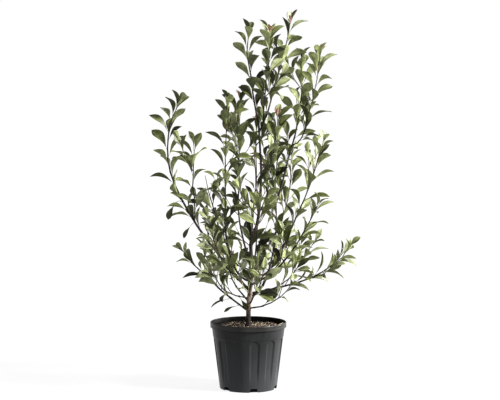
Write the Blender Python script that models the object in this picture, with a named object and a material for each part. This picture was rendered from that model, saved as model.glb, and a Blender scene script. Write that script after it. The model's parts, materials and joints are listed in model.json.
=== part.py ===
"""Potted red tip photinia: a young evergreen shrub in a ribbed nursery pot.

Metres, +Z up. The origin is at the centre of the pot's flat underside, +X is to the
viewer's right and +Y runs away from the viewer. The shrub is a leaning trunk, boughs that
leave it, and masses of foliage. Every mass is one leafy stem with its twigs and leaves,
grown by a seeded rule, and it keeps to its own space round that stem.
"""

import math
import random
from collections import namedtuple

import bmesh
import bpy
from mathutils import Vector
from mathutils.bvhtree import BVHTree

# Clear gap between two solids that touch on the real plant
GAP = 0.0003

# Pot
POT_HEIGHT = 0.244
POT_FOOT_RADIUS = 0.1035
POT_WALL_RADIUS = 0.1314
POT_WALL = 0.0024
POT_FLOOR = 0.0035
RIM_RADIUS = 0.140
RIM_HEIGHT = 0.0195
RIM_LIP = 0.0034
RIM_ROUNDING = 0.0012
RIB_COUNT = 12
RIB_PROUD = 0.0022
RIB_FOOT = 0.012
RIB_TOP = 0.190
RIB_SHARE = 0.5
RIB_SHOULDER = 0.14
RIB_SLOPE = 0.002
RIB_TURN = math.radians(-4.0)
NOTCH_COUNT = 6
NOTCH_TURN = math.radians(11.0)
NOTCH_WIDTH = 0.030
NOTCH_TOP_SHARE = 0.68
NOTCH_HEIGHT = 0.012
NOTCH_DEPTH = 0.009
CUTTER_REACH = 0.02

# Soil
SOIL_TOP = 0.225
SOIL_UNEVEN = 0.003
SOIL_EDGE_DROP = 0.001
SOIL_RING_SHARES = (0.6,)
SOIL_LEVEL_RADIUS = 0.024

# Trunk: (height above the soil, lean to +X, lean to +Y) at each of its bends
TRUNK_BENDS = (
    (0.000, 0.000, 0.000),
    (0.070, 0.001, 0.002),
    (0.130, 0.006, 0.001),
    (0.240, 0.011, -0.004),
    (0.315, 0.010, -0.002),
    (0.375, 0.032, 0.002),
    (0.450, 0.041, 0.004),
    (0.555, 0.047, 0.002),
    (0.650, 0.043, -0.001),
    (0.737, 0.038, 0.000),
)
TRUNK_FOOT_RADIUS = 0.0092
TRUNK_TIP_RADIUS = 0.0036
TRUNK_TAPER = 1.25
TRUNK_PIECES = 24
ROOT_FLARE = 0.0042
FLARE_HEIGHT = 0.016
FLARE_LOBES = 3
FLARE_TURN = 0.7
FLARE_EVEN = 0.6

# Limbs. Each leaves its parent at a share of the parent's length and ends at its tip.
# Its bend is the share of the way out and of the way up that its control point has made.
# The first part, its bare share, is a bough. The rest is the stem of a mass of foliage.
Limb = namedtuple("Limb", "name parent at tip bend radius bare twigs seed")
LIMBS = (
    Limb("leader_left", "trunk", 1.00, (0.001, -0.030, 1.285), (1.35, 0.70), 0.0034, 0.12, 0, 29),
    Limb("leader_right", "trunk", 0.965, (0.152, 0.050, 1.325), (0.55, 0.35), 0.0034, 0.15, 3, 148),
    Limb("leader_middle", "leader_right", 0.08, (0.074, -0.060, 1.284), (1.0, 0.75), 0.0026, 0.0, 1, 105),
    Limb("right_tall", "trunk", 0.145, (0.102, 0.060, 0.675), (1.10, 0.10), 0.0056, 1.0, 0, 1),
    Limb("right_tall_top", "right_tall", 1.00, (0.198, 0.100, 1.195), (1.05, 0.55), 0.0040, 0.22, 3, 67),
    Limb("right_outer", "right_tall_top", 0.42, (0.262, 0.020, 1.215), (0.60, 0.00), 0.0024, 0.0, 1, 71),
    Limb("right_middle", "right_tall", 0.42, (0.265, -0.100, 0.892), (0.40, 0.15), 0.0038, 0.30, 3, 49),
    Limb("right_slant", "trunk", 0.205, (0.244, -0.200, 0.680), (0.55, 0.20), 0.0042, 0.28, 2, 65),
    Limb("right_low", "trunk", 0.165, (0.352, 0.040, 0.497), (0.80, 0.25), 0.0040, 0.24, 3, 131),
    Limb("right_fan", "right_low", 0.22, (0.232, -0.070, 0.535), (0.45, 0.15), 0.0024, 0.0, 2, 99),
    Limb("right_lowest", "trunk", 0.090, (0.150, -0.100, 0.383), (0.65, 0.15), 0.0030, 0.30, 1, 121),
    Limb("red_shoot", "right_tall", 0.76, (0.105, -0.020, 0.988), (0.20, 0.60), 0.0022, 0.0, 1, 99),
    Limb("left_sweep", "trunk", 0.175, (-0.258, 0.020, 1.030), (1.55, 0.65), 0.0050, 0.26, 2, 69),
    Limb("left_inner", "left_sweep", 0.42, (-0.193, -0.120, 0.893), (1.60, 0.60), 0.0026, 0.15, 1, 114),
    Limb("left_middle", "trunk", 0.225, (-0.072, -0.100, 1.034), (1.60, 0.05), 0.0044, 0.28, 4, 117),
    Limb("left_tall", "trunk", 0.330, (-0.030, 0.100, 1.055), (1.60, 0.10), 0.0040, 0.24, 4, 60),
    Limb("left_slim", "left_tall", 0.60, (-0.050, 0.000, 0.960), (0.60, 0.50), 0.0022, 0.0, 1, 78),
    Limb("left_low", "trunk", 0.075, (-0.232, -0.060, 0.505), (0.85, 0.70), 0.0036, 0.24, 4, 130),
    Limb("back_tall", "trunk", 0.400, (0.030, 0.200, 0.960), (0.90, 0.30), 0.0034, 0.28, 2, 30),
    Limb("back_left", "trunk", 0.250, (-0.165, 0.235, 0.770), (0.75, 0.30), 0.0036, 0.35, 3, 15),
    Limb("back_right", "trunk", 0.280, (0.170, 0.250, 0.790), (0.75, 0.30), 0.0036, 0.35, 3, 77),
    Limb("back_low_left", "trunk", 0.120, (-0.110, 0.270, 0.500), (0.70, 0.35), 0.0032, 0.35, 3, 137),
    Limb("back_low_right", "trunk", 0.205, (0.150, 0.290, 0.530), (0.70, 0.20), 0.0032, 0.35, 3, 120),
    Limb("front_left", "trunk", 0.190, (-0.125, -0.265, 0.600), (0.75, 0.30), 0.0034, 0.30, 3, 7),
    Limb("front_middle", "trunk", 0.300, (0.040, -0.250, 0.740), (0.80, 0.25), 0.0032, 0.25, 3, 129),
    Limb("front_low", "trunk", 0.110, (0.050, -0.270, 0.455), (0.70, 0.40), 0.0030, 0.30, 3, 20),
    Limb("low_left_curl", "trunk", 0.140, (-0.130, -0.130, 0.480), (1.00, 0.20), 0.0026, 0.20, 2, 103),
    Limb("low_right_curl", "trunk", 0.250, (0.125, -0.110, 0.560), (1.10, 0.10), 0.0026, 0.20, 3, 141),
    Limb("left_short", "trunk", 0.280, (-0.110, 0.040, 0.600), (1.00, 0.15), 0.0026, 0.15, 2, 29),
    Limb("inner_low", "trunk", 0.360, (0.010, -0.110, 0.640), (1.00, 0.20), 0.0022, 0.0, 2, 68),
    Limb("inner_left", "trunk", 0.500, (-0.040, -0.040, 0.790), (0.70, 0.30), 0.0022, 0.0, 1, 101),
    Limb("inner_back", "trunk", 0.560, (0.090, 0.110, 0.840), (0.70, 0.30), 0.0022, 0.0, 1, 155),
    Limb("inner_front", "trunk", 0.620, (0.020, -0.110, 0.880), (0.70, 0.30), 0.0022, 0.0, 1, 136),
    Limb("inner_right", "trunk", 0.780, (0.110, 0.030, 0.960), (0.70, 0.30), 0.0022, 0.0, 1, 145),
)
# A limb wanders off its curve by waves of these rates, the second one weaker
WANDER = 0.004
WANDER_RUN = 0.3
WAVES_ACROSS = (7.0, 17.0)
WAVES_AWAY = (8.0, 15.0)
SECOND_WAVE = 0.4
BOUGH_TAPER = 0.72
STEM_TIP_RADIUS = 0.0012
LIMB_STEP = 0.052
TRUNK_SIDES = 10
BOUGH_SIDES = 6
STEM_SIDES = 3
LIMB_ROOM = 0.0015

# Twigs of a mass
TWIG_RADIUS = 0.0015
TWIG_TIP_RADIUS = 0.0009
TWIG_LENGTH = (0.050, 0.110)
TWIG_SPREAD = (0.55, 0.95)
TWIG_RISE = 0.45
TWIG_STRETCH = (0.05, 0.85)
TWIG_ROOM = 0.003
TWIG_ROOM_FOR_LEAVES = 0.050
TWIG_SIDES = 3
TWIG_MARKS = (0.0, 0.5, 1.0)
TWIG_BARE = 0.25
TWIG_LEAVES = 3
TWIG_TRIES = 12
TWIG_CLEAR_OF_POT = 0.020
STEM_BARE = 0.04
STEM_BARE_AT_PARENT = 0.10

# Leaves. They stand closer, smaller and more upright towards a stem's tip.
LEAF_SPACING = 0.0240
LEAF_CROWDING = 1.25
LEAF_TURN = math.radians(137.5)
LEAF_TURN_PLAY = 0.25
LEAF_TURN_AGAIN = 0.45
LEAF_LENGTH = (0.080, 0.100)
LEAF_WIDTH = 0.38
LEAF_WIDTH_PLAY = 0.08
LEAF_WIDEST = 0.60
LEAF_KITE = 1.1
LEAF_SPREAD = (0.42, 0.85)
LEAF_OUTWARD = 0.12
LEAF_LIFT = 0.15
LEAF_LIFT_FROM_BELOW = 0.45
LEAF_FOLD = 0.10
LEAF_DROOP = (0.12, 0.34)
LEAF_ROLL = 0.85
LEAF_ROOM = 0.0006
LEAF_SINK = 0.0015
YOUNG_LEAVES = 4.0
YOUNG_SIZE = 0.66
YOUNG_SPREAD = 0.38
LEAF_CLEAR_OF_POT = 0.004
LEAF_TRIES = 7

# Each mass keeps within this reach of its stem
SPACE_RADIUS = 0.150
SPACE_MARKS = 30
ROOT_SHARE = 0.14
ROOT_SHARE_MAX = 0.5

CROWN_AXIS = Vector((0.02, 0.0, 0.0))
UP = Vector((0.0, 0.0, 1.0))


def make_material(name, colour, roughness):
    """A plain Principled material."""
    material = bpy.data.materials.new(name)
    material.use_nodes = True
    shader = material.node_tree.nodes["Principled BSDF"]
    shader.inputs["Base Color"].default_value = (*colour, 1.0)
    shader.inputs["Roughness"].default_value = roughness
    shader.inputs["Metallic"].default_value = 0.0
    material.diffuse_color = (*colour, 1.0)
    return material


def add_object(name, vertices, faces, material):
    """A closed mesh object with its faces pointing out."""
    body = bmesh.new()
    placed = [body.verts.new(vertex) for vertex in vertices]
    for face in faces:
        body.faces.new([placed[index] for index in face])
    bmesh.ops.recalc_face_normals(body, faces=body.faces)
    mesh = bpy.data.meshes.new(name)
    body.to_mesh(mesh)
    body.free()
    mesh.materials.append(material)
    thing = bpy.data.objects.new(name, mesh)
    bpy.context.scene.collection.objects.link(thing)
    return thing


def remove_object(thing):
    """Remove an object together with its mesh."""
    mesh = thing.data
    bpy.data.objects.remove(thing)
    bpy.data.meshes.remove(mesh)


def apply_modifiers(thing):
    """Replace the object's mesh by its evaluated mesh."""
    depsgraph = bpy.context.evaluated_depsgraph_get()
    evaluated = bpy.data.meshes.new_from_object(thing.evaluated_get(depsgraph))
    old = thing.data
    thing.modifiers.clear()
    thing.data = evaluated
    bpy.data.meshes.remove(old)


def cut(thing, cutter):
    """Subtract the cutter from the object, then remove the cutter."""
    modifier = thing.modifiers.new("cut", "BOOLEAN")
    modifier.operation = "DIFFERENCE"
    modifier.solver = "EXACT"
    modifier.object = cutter
    apply_modifiers(thing)
    remove_object(cutter)


def ring_faces(rings, sides):
    """Faces of a skin over rings of points, closed by a flat face at each end."""
    faces = [tuple(range(sides))]
    for ring in range(rings - 1):
        for side in range(sides):
            after = (side + 1) % sides
            low = ring * sides
            high = low + sides
            faces.append((low + side, low + after, high + after, high + side))
    faces.append(tuple(range((rings - 1) * sides, rings * sides)))
    return faces


def steady_frame(tangent, reference):
    """Two directions square to the tangent, the first one nearest to the reference."""
    first = (reference - tangent * reference.dot(tangent)).normalized()
    return first, tangent.cross(first)


class Path:
    """A limb's centre line, with its radius, read by share of its length."""

    def __init__(self, points, radii, first_tangent=None, last_tangent=None):
        self.points = points
        self.radii = radii
        self.marks = [0.0]
        for before, after in zip(points, points[1:]):
            self.marks.append(self.marks[-1] + (after - before).length)
        self.length = self.marks[-1]
        self.first_tangent = first_tangent
        self.last_tangent = last_tangent
        chord = (points[-1] - points[0]).normalized()
        axes = (Vector((1.0, 0.0, 0.0)), Vector((0.0, 1.0, 0.0)), UP)
        self.reference = min(axes, key=lambda axis: abs(axis.dot(chord)))

    def locate(self, share):
        """Index of the piece that holds a share of the length, and the place in it."""
        distance = min(max(share, 0.0), 1.0) * self.length
        for index in range(len(self.marks) - 1):
            if distance <= self.marks[index + 1] or index == len(self.marks) - 2:
                span = self.marks[index + 1] - self.marks[index]
                return index, (distance - self.marks[index]) / span

    def point(self, share):
        """The place on the centre line."""
        index, place = self.locate(share)
        return self.points[index].lerp(self.points[index + 1], place)

    def radius(self, share):
        """The limb's radius there."""
        index, place = self.locate(share)
        return self.radii[index] * (1.0 - place) + self.radii[index + 1] * place

    def tangent(self, share):
        """The direction of growth there, read over half a piece to each side."""
        reach = 0.5 / (len(self.points) - 1)
        ahead = self.point(min(share + reach, 1.0))
        behind = self.point(max(share - reach, 0.0))
        return (ahead - behind).normalized()

    def part(self, start, end):
        """The stretch between two shares of the length, on the same points."""
        inner = [mark / self.length for mark in self.marks]
        shares = [start] + [share for share in inner if start + 0.01 < share < end - 0.01] + [end]
        points = [self.point(share) for share in shares]
        radii = [self.radius(share) for share in shares]
        before = self.first_tangent if start == 0.0 else self.tangent(start)
        after = self.last_tangent if end == 1.0 else self.tangent(end)
        path = Path(points, radii, before, after)
        path.reference = self.reference
        return path


def tube(path, sides, extra=0.0, reach=0.0):
    """Points and faces of a tapering tube along a path, grown by extra and by reach."""
    grow = 1.0 / math.cos(math.pi / sides) if extra else 1.0
    vertices = []
    last = len(path.points) - 1
    for index, centre in enumerate(path.points):
        share = path.marks[index] / path.length
        tangent = path.tangent(share)
        if index == 0:
            tangent = path.first_tangent or tangent
            centre = centre - tangent * reach
        elif index == last:
            tangent = path.last_tangent or tangent
            centre = centre + tangent * reach
        first, second = steady_frame(tangent, path.reference)
        radius = (path.radii[index] + extra) * grow
        for side in range(sides):
            angle = 2.0 * math.pi * side / sides
            vertices.append(centre + (first * math.cos(angle) + second * math.sin(angle)) * radius)
    return vertices, ring_faces(last + 1, sides)


def smooth_point(values, place):
    """Catmull-Rom curve through rows of values, read at a place from 0 to 1."""
    spans = len(values) - 1
    index = min(int(place * spans), spans - 1)
    local = place * spans - index
    rows = [values[min(max(index + shift, 0), spans)] for shift in (-1, 0, 1, 2)]
    result = []
    for before, start, end, after in zip(*rows):
        slope = end - before
        curve = 2.0 * before - 5.0 * start + 4.0 * end - after
        twist = 3.0 * start - before - 3.0 * end + after
        result.append(start + 0.5 * local * (slope + local * (curve + local * twist)))
    return result


def trunk_path():
    """The trunk from its flat cut on the soil to its fork."""
    count = TRUNK_PIECES
    top = TRUNK_BENDS[-1][0]
    points = []
    radii = []
    for index in range(count + 1):
        height, right, back = smooth_point(TRUNK_BENDS, index / count)
        points.append(Vector((right, back, SOIL_TOP + GAP + height)))
        spare = TRUNK_FOOT_RADIUS - TRUNK_TIP_RADIUS
        radii.append(TRUNK_TIP_RADIUS + spare * max(0.0, 1.0 - height / top) ** TRUNK_TAPER)
    return Path(points, radii, UP)


def limb_path(limb, parent):
    """A limb's smooth centre line, from its parent's axis or tip to its own tip."""
    rng = random.Random(f"path {limb.name}")
    from_tip = limb.at >= 1.0
    start = parent.point(limb.at)
    onward = parent.last_tangent or parent.tangent(1.0)
    if from_tip:
        start = start + onward * GAP
    run = Vector(limb.tip) - start
    control = start + Vector((run.x * limb.bend[0], run.y * limb.bend[0], run.z * limb.bend[1]))
    count = max(4, math.ceil(run.length / LIMB_STEP))
    phases = [rng.uniform(0.0, 2.0 * math.pi) for _ in range(4)]
    points = []
    radii = []
    for index in range(count + 1):
        share = index / count
        back = 1.0 - share
        point = start * back * back + control * 2.0 * share * back + Vector(limb.tip) * share * share
        wander = WANDER * math.sin(math.pi * share) * min(1.0, run.length / WANDER_RUN)
        point.x += wander * two_waves(share, WAVES_ACROSS, phases[:2])
        point.y += wander * two_waves(share, WAVES_AWAY, phases[2:])
        points.append(point)
        radii.append(STEM_TIP_RADIUS + (limb.radius - STEM_TIP_RADIUS) * (1.0 - share) ** BOUGH_TAPER)
    return Path(points, radii, onward if from_tip else None)


def two_waves(share, rates, phases):
    """A strong and a weak sine wave along a limb, added up."""
    first = math.sin(rates[0] * share + phases[0])
    second = math.sin(rates[1] * share + phases[1])
    return first + SECOND_WAVE * second


def solid_tree(vertices, faces):
    """A search tree over the faces of a solid."""
    return BVHTree.FromPolygons([tuple(vertex) for vertex in vertices], faces)


class Space:
    """Everything placed so far, for telling whether a new twig or leaf would touch it."""

    def __init__(self):
        self.items = []

    def add(self, owner, vertices, faces):
        """Keep a solid under its owner's name."""
        centre = sum(vertices, Vector()) / len(vertices)
        reach = max((vertex - centre).length for vertex in vertices)
        self.items.append((owner, centre, reach, solid_tree(vertices, faces)))

    def is_free(self, vertices, faces, skip=(), only=None):
        """Whether a solid touches none of those kept, or none of one owner's."""
        centre = sum(vertices, Vector()) / len(vertices)
        reach = max((vertex - centre).length for vertex in vertices)
        tree = solid_tree(vertices, faces)
        for owner, other, size, other_tree in self.items:
            if owner in skip or (only is not None and owner != only):
                continue
            if (other - centre).length < reach + size and tree.overlap(other_tree):
                return False
        return True


Leaf = namedtuple("Leaf", "root along face length width fold droop")


def leaf_point(leaf, share, across, lift):
    """A place on a leaf: share of its length, share of its half width, height over it."""
    side = leaf.along.cross(leaf.face)
    half = leaf.width * 0.5
    raised = lift + abs(across) * half * leaf.fold * 2.0 - leaf.droop * leaf.length * share * share
    return leaf.root + leaf.along * (share * leaf.length) + side * (across * half) + leaf.face * raised


def leaf_corners(leaf, start, room, lift):
    """The root, the tip and the widest corners of a leaf, with room all round them."""
    ends = room / leaf.length
    wide = LEAF_KITE + 2.0 * room / leaf.width
    places = ((start - ends, 0.0), (LEAF_WIDEST, -wide), (1.0 + ends, 0.0), (LEAF_WIDEST, wide))
    return [leaf_point(leaf, share, across, lift) for share, across in places]


def leaf_solid(leaf):
    """Points and faces of a thin folded kite: a straight keel under its widest line."""
    return leaf_corners(leaf, 0.0, 0.0, 0.0), [(0, 1, 2), (0, 2, 3), (0, 3, 1), (1, 3, 2)]


def leaf_room(leaf, start=0.0):
    """Points and faces of the room that a leaf takes up, from a share of its length on."""
    vertices = leaf_corners(leaf, start, LEAF_ROOM, -LEAF_ROOM)
    vertices += leaf_corners(leaf, start, LEAF_ROOM, LEAF_ROOM)
    faces = [(0, 1, 2), (0, 2, 3), (4, 7, 5), (5, 7, 6)]
    faces += [(corner, (corner + 1) % 4, (corner + 1) % 4 + 4, corner + 4) for corner in range(4)]
    return vertices, faces


def leaf_fits(leaf, spread, name, stem_points, space):
    """Whether a leaf keeps to its mass's own space and touches nothing."""
    for share in (0.6, 1.0):
        place = leaf_point(leaf, share, 0.0, 0.0)
        if min((place - point).length for point in stem_points) > SPACE_RADIUS:
            return False
        if place.z < POT_HEIGHT + LEAF_CLEAR_OF_POT:
            return False
    clear = min(ROOT_SHARE_MAX, ROOT_SHARE / math.sin(spread))
    if not space.is_free(*leaf_room(leaf, clear), only=name):
        return False
    return space.is_free(*leaf_room(leaf), skip=(name,))


def grow_leaf(rng, path, share, turn, size, spread):
    """One leaf on a stem: it leaves at its spread and turns its face to the stem's tip."""
    tangent = path.tangent(share)
    first, second = steady_frame(tangent, path.reference)
    out = first * math.cos(turn) + second * math.sin(turn)
    along = tangent * math.cos(spread) + out * math.sin(spread)
    outward = (path.point(share) - CROWN_AXIS) * Vector((1.0, 1.0, 0.0))
    lift = LEAF_LIFT - LEAF_LIFT_FROM_BELOW * min(0.0, along.z)
    along += outward.normalized() * LEAF_OUTWARD + UP * lift
    along.normalize()
    face, side = steady_frame(along, tangent)
    roll = rng.triangular(-LEAF_ROLL, LEAF_ROLL)
    face = face * math.cos(roll) + side * math.sin(roll)
    length = rng.uniform(*LEAF_LENGTH) * size
    width = length * LEAF_WIDTH * rng.uniform(1.0 - LEAF_WIDTH_PLAY, 1.0 + LEAF_WIDTH_PLAY)
    droop = rng.uniform(*LEAF_DROOP)
    return Leaf(path.point(share), along, face, length, width, LEAF_FOLD, droop)


def grow_leaves(rng, name, path, start, stem_points, space):
    """Leaves set in a spiral along a stem, each one clear of the rest."""
    leaves = []
    count = max(3, round((1.0 - start) * path.length / LEAF_SPACING))
    turn = rng.uniform(0.0, 2.0 * math.pi)
    for index in range(count + 1):
        ahead = 1.0 - index / count
        share = 1.0 - (1.0 - start) * ahead ** LEAF_CROWDING - LEAF_SINK / path.length
        age = min(1.0, ahead * count / YOUNG_LEAVES)
        size = YOUNG_SIZE + (1.0 - YOUNG_SIZE) * age
        turn += LEAF_TURN
        for attempt in range(LEAF_TRIES):
            swing = turn + rng.uniform(-LEAF_TURN_PLAY, LEAF_TURN_PLAY) + LEAF_TURN_AGAIN * attempt
            spread = rng.uniform(*LEAF_SPREAD) * (YOUNG_SPREAD + (1.0 - YOUNG_SPREAD) * age)
            leaf = grow_leaf(rng, path, share, swing, size, spread)
            if leaf_fits(leaf, spread, name, stem_points, space):
                space.add(name, *leaf_room(leaf))
                leaves.append(leaf)
                break
    return leaves


def grow_twig(rng, path, share):
    """A short twig that leaves a stem and bends up."""
    tangent = path.tangent(share)
    first, second = steady_frame(tangent, path.reference)
    turn = rng.uniform(0.0, 2.0 * math.pi)
    spread = rng.uniform(*TWIG_SPREAD)
    out = first * math.cos(turn) + second * math.sin(turn)
    along = tangent * math.cos(spread) + out * math.sin(spread)
    length = rng.uniform(*TWIG_LENGTH)
    start = path.point(share)
    end = start + (along + UP * TWIG_RISE).normalized() * length
    middle = start + along * length * 0.5
    points = [start.lerp(middle, mark).lerp(middle.lerp(end, mark), mark) for mark in TWIG_MARKS]
    radii = [TWIG_RADIUS + (TWIG_TIP_RADIUS - TWIG_RADIUS) * mark for mark in TWIG_MARKS]
    return Path(points, radii)


def twig_fits(twig, name, stem_points, space):
    """Whether a twig stays over the pot and in its mass's own space, and touches nothing."""
    end = twig.points[-1]
    if end.z < POT_HEIGHT + TWIG_CLEAR_OF_POT:
        return False
    if min((end - point).length for point in stem_points) > SPACE_RADIUS - TWIG_ROOM_FOR_LEAVES:
        return False
    if not space.is_free(*tube(twig, TWIG_SIDES, TWIG_ROOM), skip=(name,)):
        return False
    return space.is_free(*tube(twig.part(ROOT_SHARE, 1.0), TWIG_SIDES, TWIG_ROOM), only=name)


def grow_twigs(rng, limb, stem, stem_points, space):
    """The twigs of one mass, spread along its stem."""
    twigs = []
    low, high = TWIG_STRETCH
    for index in range(limb.twigs):
        for _ in range(TWIG_TRIES):
            share = low + (high - low) * (index + rng.uniform(0.1, 0.9)) / limb.twigs
            twig = grow_twig(rng, stem, share)
            if twig_fits(twig, limb.name, stem_points, space):
                space.add(limb.name, *tube(twig, BOUGH_SIDES, LEAF_ROOM))
                twigs.append(twig)
                break
    return twigs


def grow_mass(limb, stem, space):
    """The leafy twigs of one mass, and all its leaves."""
    rng = random.Random(f"{limb.name} {limb.seed}")
    stem_points = [stem.point(index / SPACE_MARKS) for index in range(SPACE_MARKS + 1)]
    bare = STEM_BARE if limb.bare > 0.0 else STEM_BARE_AT_PARENT
    twigs = []
    buds = grow_twigs(rng, limb, stem, stem_points, space)
    leaves = grow_leaves(rng, limb.name, stem, bare, stem_points, space)
    for twig in buds:
        on_twig = grow_leaves(rng, limb.name, twig, TWIG_BARE, stem_points, space)
        if len(on_twig) >= TWIG_LEAVES:
            twigs.append(twig)
            leaves += on_twig
    return twigs, leaves


def fuse(name, pieces, material):
    """Join the pieces of a mass into one solid by a Boolean union."""
    group = bpy.data.collections.new(name)
    bpy.context.scene.collection.children.link(group)
    stem, others = pieces[0], pieces[1:]
    mass = add_object(name, *stem, material)
    for vertices, faces in others:
        piece = add_object("piece", vertices, faces, material)
        bpy.context.scene.collection.objects.unlink(piece)
        group.objects.link(piece)
    modifier = mass.modifiers.new("union", "BOOLEAN")
    modifier.operation = "UNION"
    modifier.solver = "EXACT"
    modifier.operand_type = "COLLECTION"
    modifier.collection = group
    apply_modifiers(mass)
    for piece in list(group.objects):
        remove_object(piece)
    bpy.data.collections.remove(group)
    return mass


def keep_main_body(thing):
    """Drop loose scraps and fill sealed hollows: only the largest shell stays."""
    body = bmesh.new()
    body.from_mesh(thing.data)
    bmesh.ops.remove_doubles(body, verts=body.verts, dist=1e-6)
    unseen = set(body.faces)
    shells = []
    while unseen:
        front = [unseen.pop()]
        shell = list(front)
        while front:
            face = front.pop()
            for edge in face.edges:
                if len(edge.link_faces) != 2:
                    continue
                for other in edge.link_faces:
                    if other in unseen:
                        unseen.discard(other)
                        shell.append(other)
                        front.append(other)
        shells.append(shell)
    shells.sort(key=len, reverse=True)
    scraps = [face for shell in shells[1:] for face in shell]
    bmesh.ops.delete(body, geom=scraps, context="FACES")
    body.to_mesh(thing.data)
    body.free()


def turned_mesh(rings, angles, ribbed=()):
    """Points and faces turned round Z: a ring for each (radius, height), ends closed."""
    vertices = []
    for index, (radius, height) in enumerate(rings):
        for angle in angles:
            reach = radius + (rib_lift(angle, height) if index in ribbed else 0.0)
            vertices.append(Vector((reach * math.sin(angle), -reach * math.cos(angle), height)))
    return vertices, ring_faces(len(rings), len(angles))


def pot_angles():
    """Angles round the pot with corners at both feet and both shoulders of each rib."""
    pitch = 2.0 * math.pi / RIB_COUNT
    foot = 0.5 * RIB_SHARE
    shoulder = foot - RIB_SHOULDER * RIB_SHARE
    marks = (-foot, -shoulder, shoulder, foot)
    return [RIB_TURN + pitch * (rib + mark) for rib in range(RIB_COUNT) for mark in marks]


def rib_lift(angle, height):
    """How far the wall stands proud: by the ribs, and all round in the collar over them."""
    if RIB_TOP < height <= POT_HEIGHT - RIM_HEIGHT:
        return RIB_PROUD
    if not RIB_FOOT <= height <= RIB_TOP:
        return 0.0
    pitch = 2.0 * math.pi / RIB_COUNT
    offset = abs((angle - RIB_TURN + 0.5 * pitch) % pitch - 0.5 * pitch) / pitch
    slope = (0.5 * RIB_SHARE - offset) / (RIB_SHOULDER * RIB_SHARE)
    return RIB_PROUD * min(1.0, max(0.0, slope))


def wall_radius(height):
    """Outer radius of the pot's plain wall at a height."""
    share = height / (POT_HEIGHT - RIM_HEIGHT)
    return POT_FOOT_RADIUS + (POT_WALL_RADIUS - POT_FOOT_RADIUS) * share


def make_pot(material):
    """The ribbed pot: its wall, its collar, its rim and its notched foot."""
    rim_foot = POT_HEIGHT - RIM_HEIGHT
    heights = (0.0, RIB_FOOT - RIB_SLOPE, RIB_FOOT, RIB_TOP - RIB_SLOPE, RIB_TOP + RIB_SLOPE, rim_foot)
    rings = [(wall_radius(height), height) for height in heights]
    rings += [(RIM_RADIUS - 0.5 * RIM_ROUNDING, rim_foot), (RIM_RADIUS, POT_HEIGHT - RIM_ROUNDING)]
    rings += [(RIM_RADIUS - RIM_ROUNDING, POT_HEIGHT), (RIM_RADIUS - RIM_LIP, POT_HEIGHT)]
    rings += [(RIM_RADIUS - RIM_LIP - RIM_ROUNDING, rim_foot + 2.0 * RIM_ROUNDING)]
    rings += [(POT_WALL_RADIUS - POT_WALL, rim_foot), (wall_radius(POT_FLOOR) - POT_WALL, POT_FLOOR)]
    proud = range(len(heights))
    vertices, faces = turned_mesh(rings, pot_angles(), proud)
    pot = add_object("pot", vertices, faces, material)
    cut(pot, notch_cutters(material))
    return pot


def notch_cutters(material):
    """Blocks with sloping sides that open the pot's foot corner."""
    top = 0.5 * NOTCH_TOP_SHARE
    outline = ((-0.5, -NOTCH_HEIGHT), (0.5, -NOTCH_HEIGHT), (top, NOTCH_HEIGHT), (-top, NOTCH_HEIGHT))
    vertices = []
    faces = []
    for notch in range(NOTCH_COUNT):
        angle = NOTCH_TURN + 2.0 * math.pi * notch / NOTCH_COUNT
        out = Vector((math.sin(angle), -math.cos(angle), 0.0))
        side = Vector((math.cos(angle), math.sin(angle), 0.0))
        first = len(vertices)
        for reach in (POT_FOOT_RADIUS - NOTCH_DEPTH, POT_FOOT_RADIUS + CUTTER_REACH):
            for across, height in outline:
                vertices.append(out * reach + side * (across * NOTCH_WIDTH) + UP * height)
        faces += [tuple(first + corner for corner in face) for face in ring_faces(2, len(outline))]
    return add_object("notch_cutters", vertices, faces, material)


def make_soil(material):
    """The soil that fills the pot, level round the trunk and slightly uneven elsewhere."""
    rng = random.Random("soil")
    inside = POT_WALL_RADIUS - POT_WALL - GAP
    rings = [(wall_radius(POT_FLOOR) - POT_WALL - GAP, POT_FLOOR + GAP)]
    rings += [(inside, SOIL_TOP - SOIL_EDGE_DROP)]
    rings += [(inside * share, SOIL_TOP) for share in SOIL_RING_SHARES] + [(SOIL_LEVEL_RADIUS, SOIL_TOP)]
    angles = pot_angles()
    vertices, faces = turned_mesh(rings, angles)
    for vertex in vertices[2 * len(angles):-len(angles)]:
        vertex.z += rng.uniform(-SOIL_UNEVEN, SOIL_UNEVEN)
    return add_object("soil", vertices, faces, material)


def make_trunk(path, material):
    """The trunk, with a lobed root flare on its flat cut."""
    vertices, faces = tube(path, TRUNK_SIDES)
    for index, vertex in enumerate(vertices):
        centre = path.points[index // TRUNK_SIDES]
        height = centre.z - SOIL_TOP
        angle = 2.0 * math.pi * (index % TRUNK_SIDES) / TRUNK_SIDES
        lobes = FLARE_EVEN + (1.0 - FLARE_EVEN) * math.cos(FLARE_LOBES * angle + FLARE_TURN)
        outward = (vertex - centre).normalized()
        vertex += outward * ROOT_FLARE * lobes * math.exp(-height / FLARE_HEIGHT)
    for vertex in vertices[:TRUNK_SIDES]:
        vertex.z = SOIL_TOP + GAP
    return add_object("trunk", vertices, faces, material)


def parent_cutter(limb, paths, material):
    """The parent limb grown by the gap, for shaping the foot of a limb that leaves it."""
    sides = TRUNK_SIDES if limb.parent == "trunk" else BOUGH_SIDES
    return add_object("parent_cutter", *tube(paths[limb.parent], sides, GAP, GAP), material)


def clear_scene():
    """Remove every object."""
    for thing in list(bpy.data.objects):
        bpy.data.objects.remove(thing)


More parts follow.
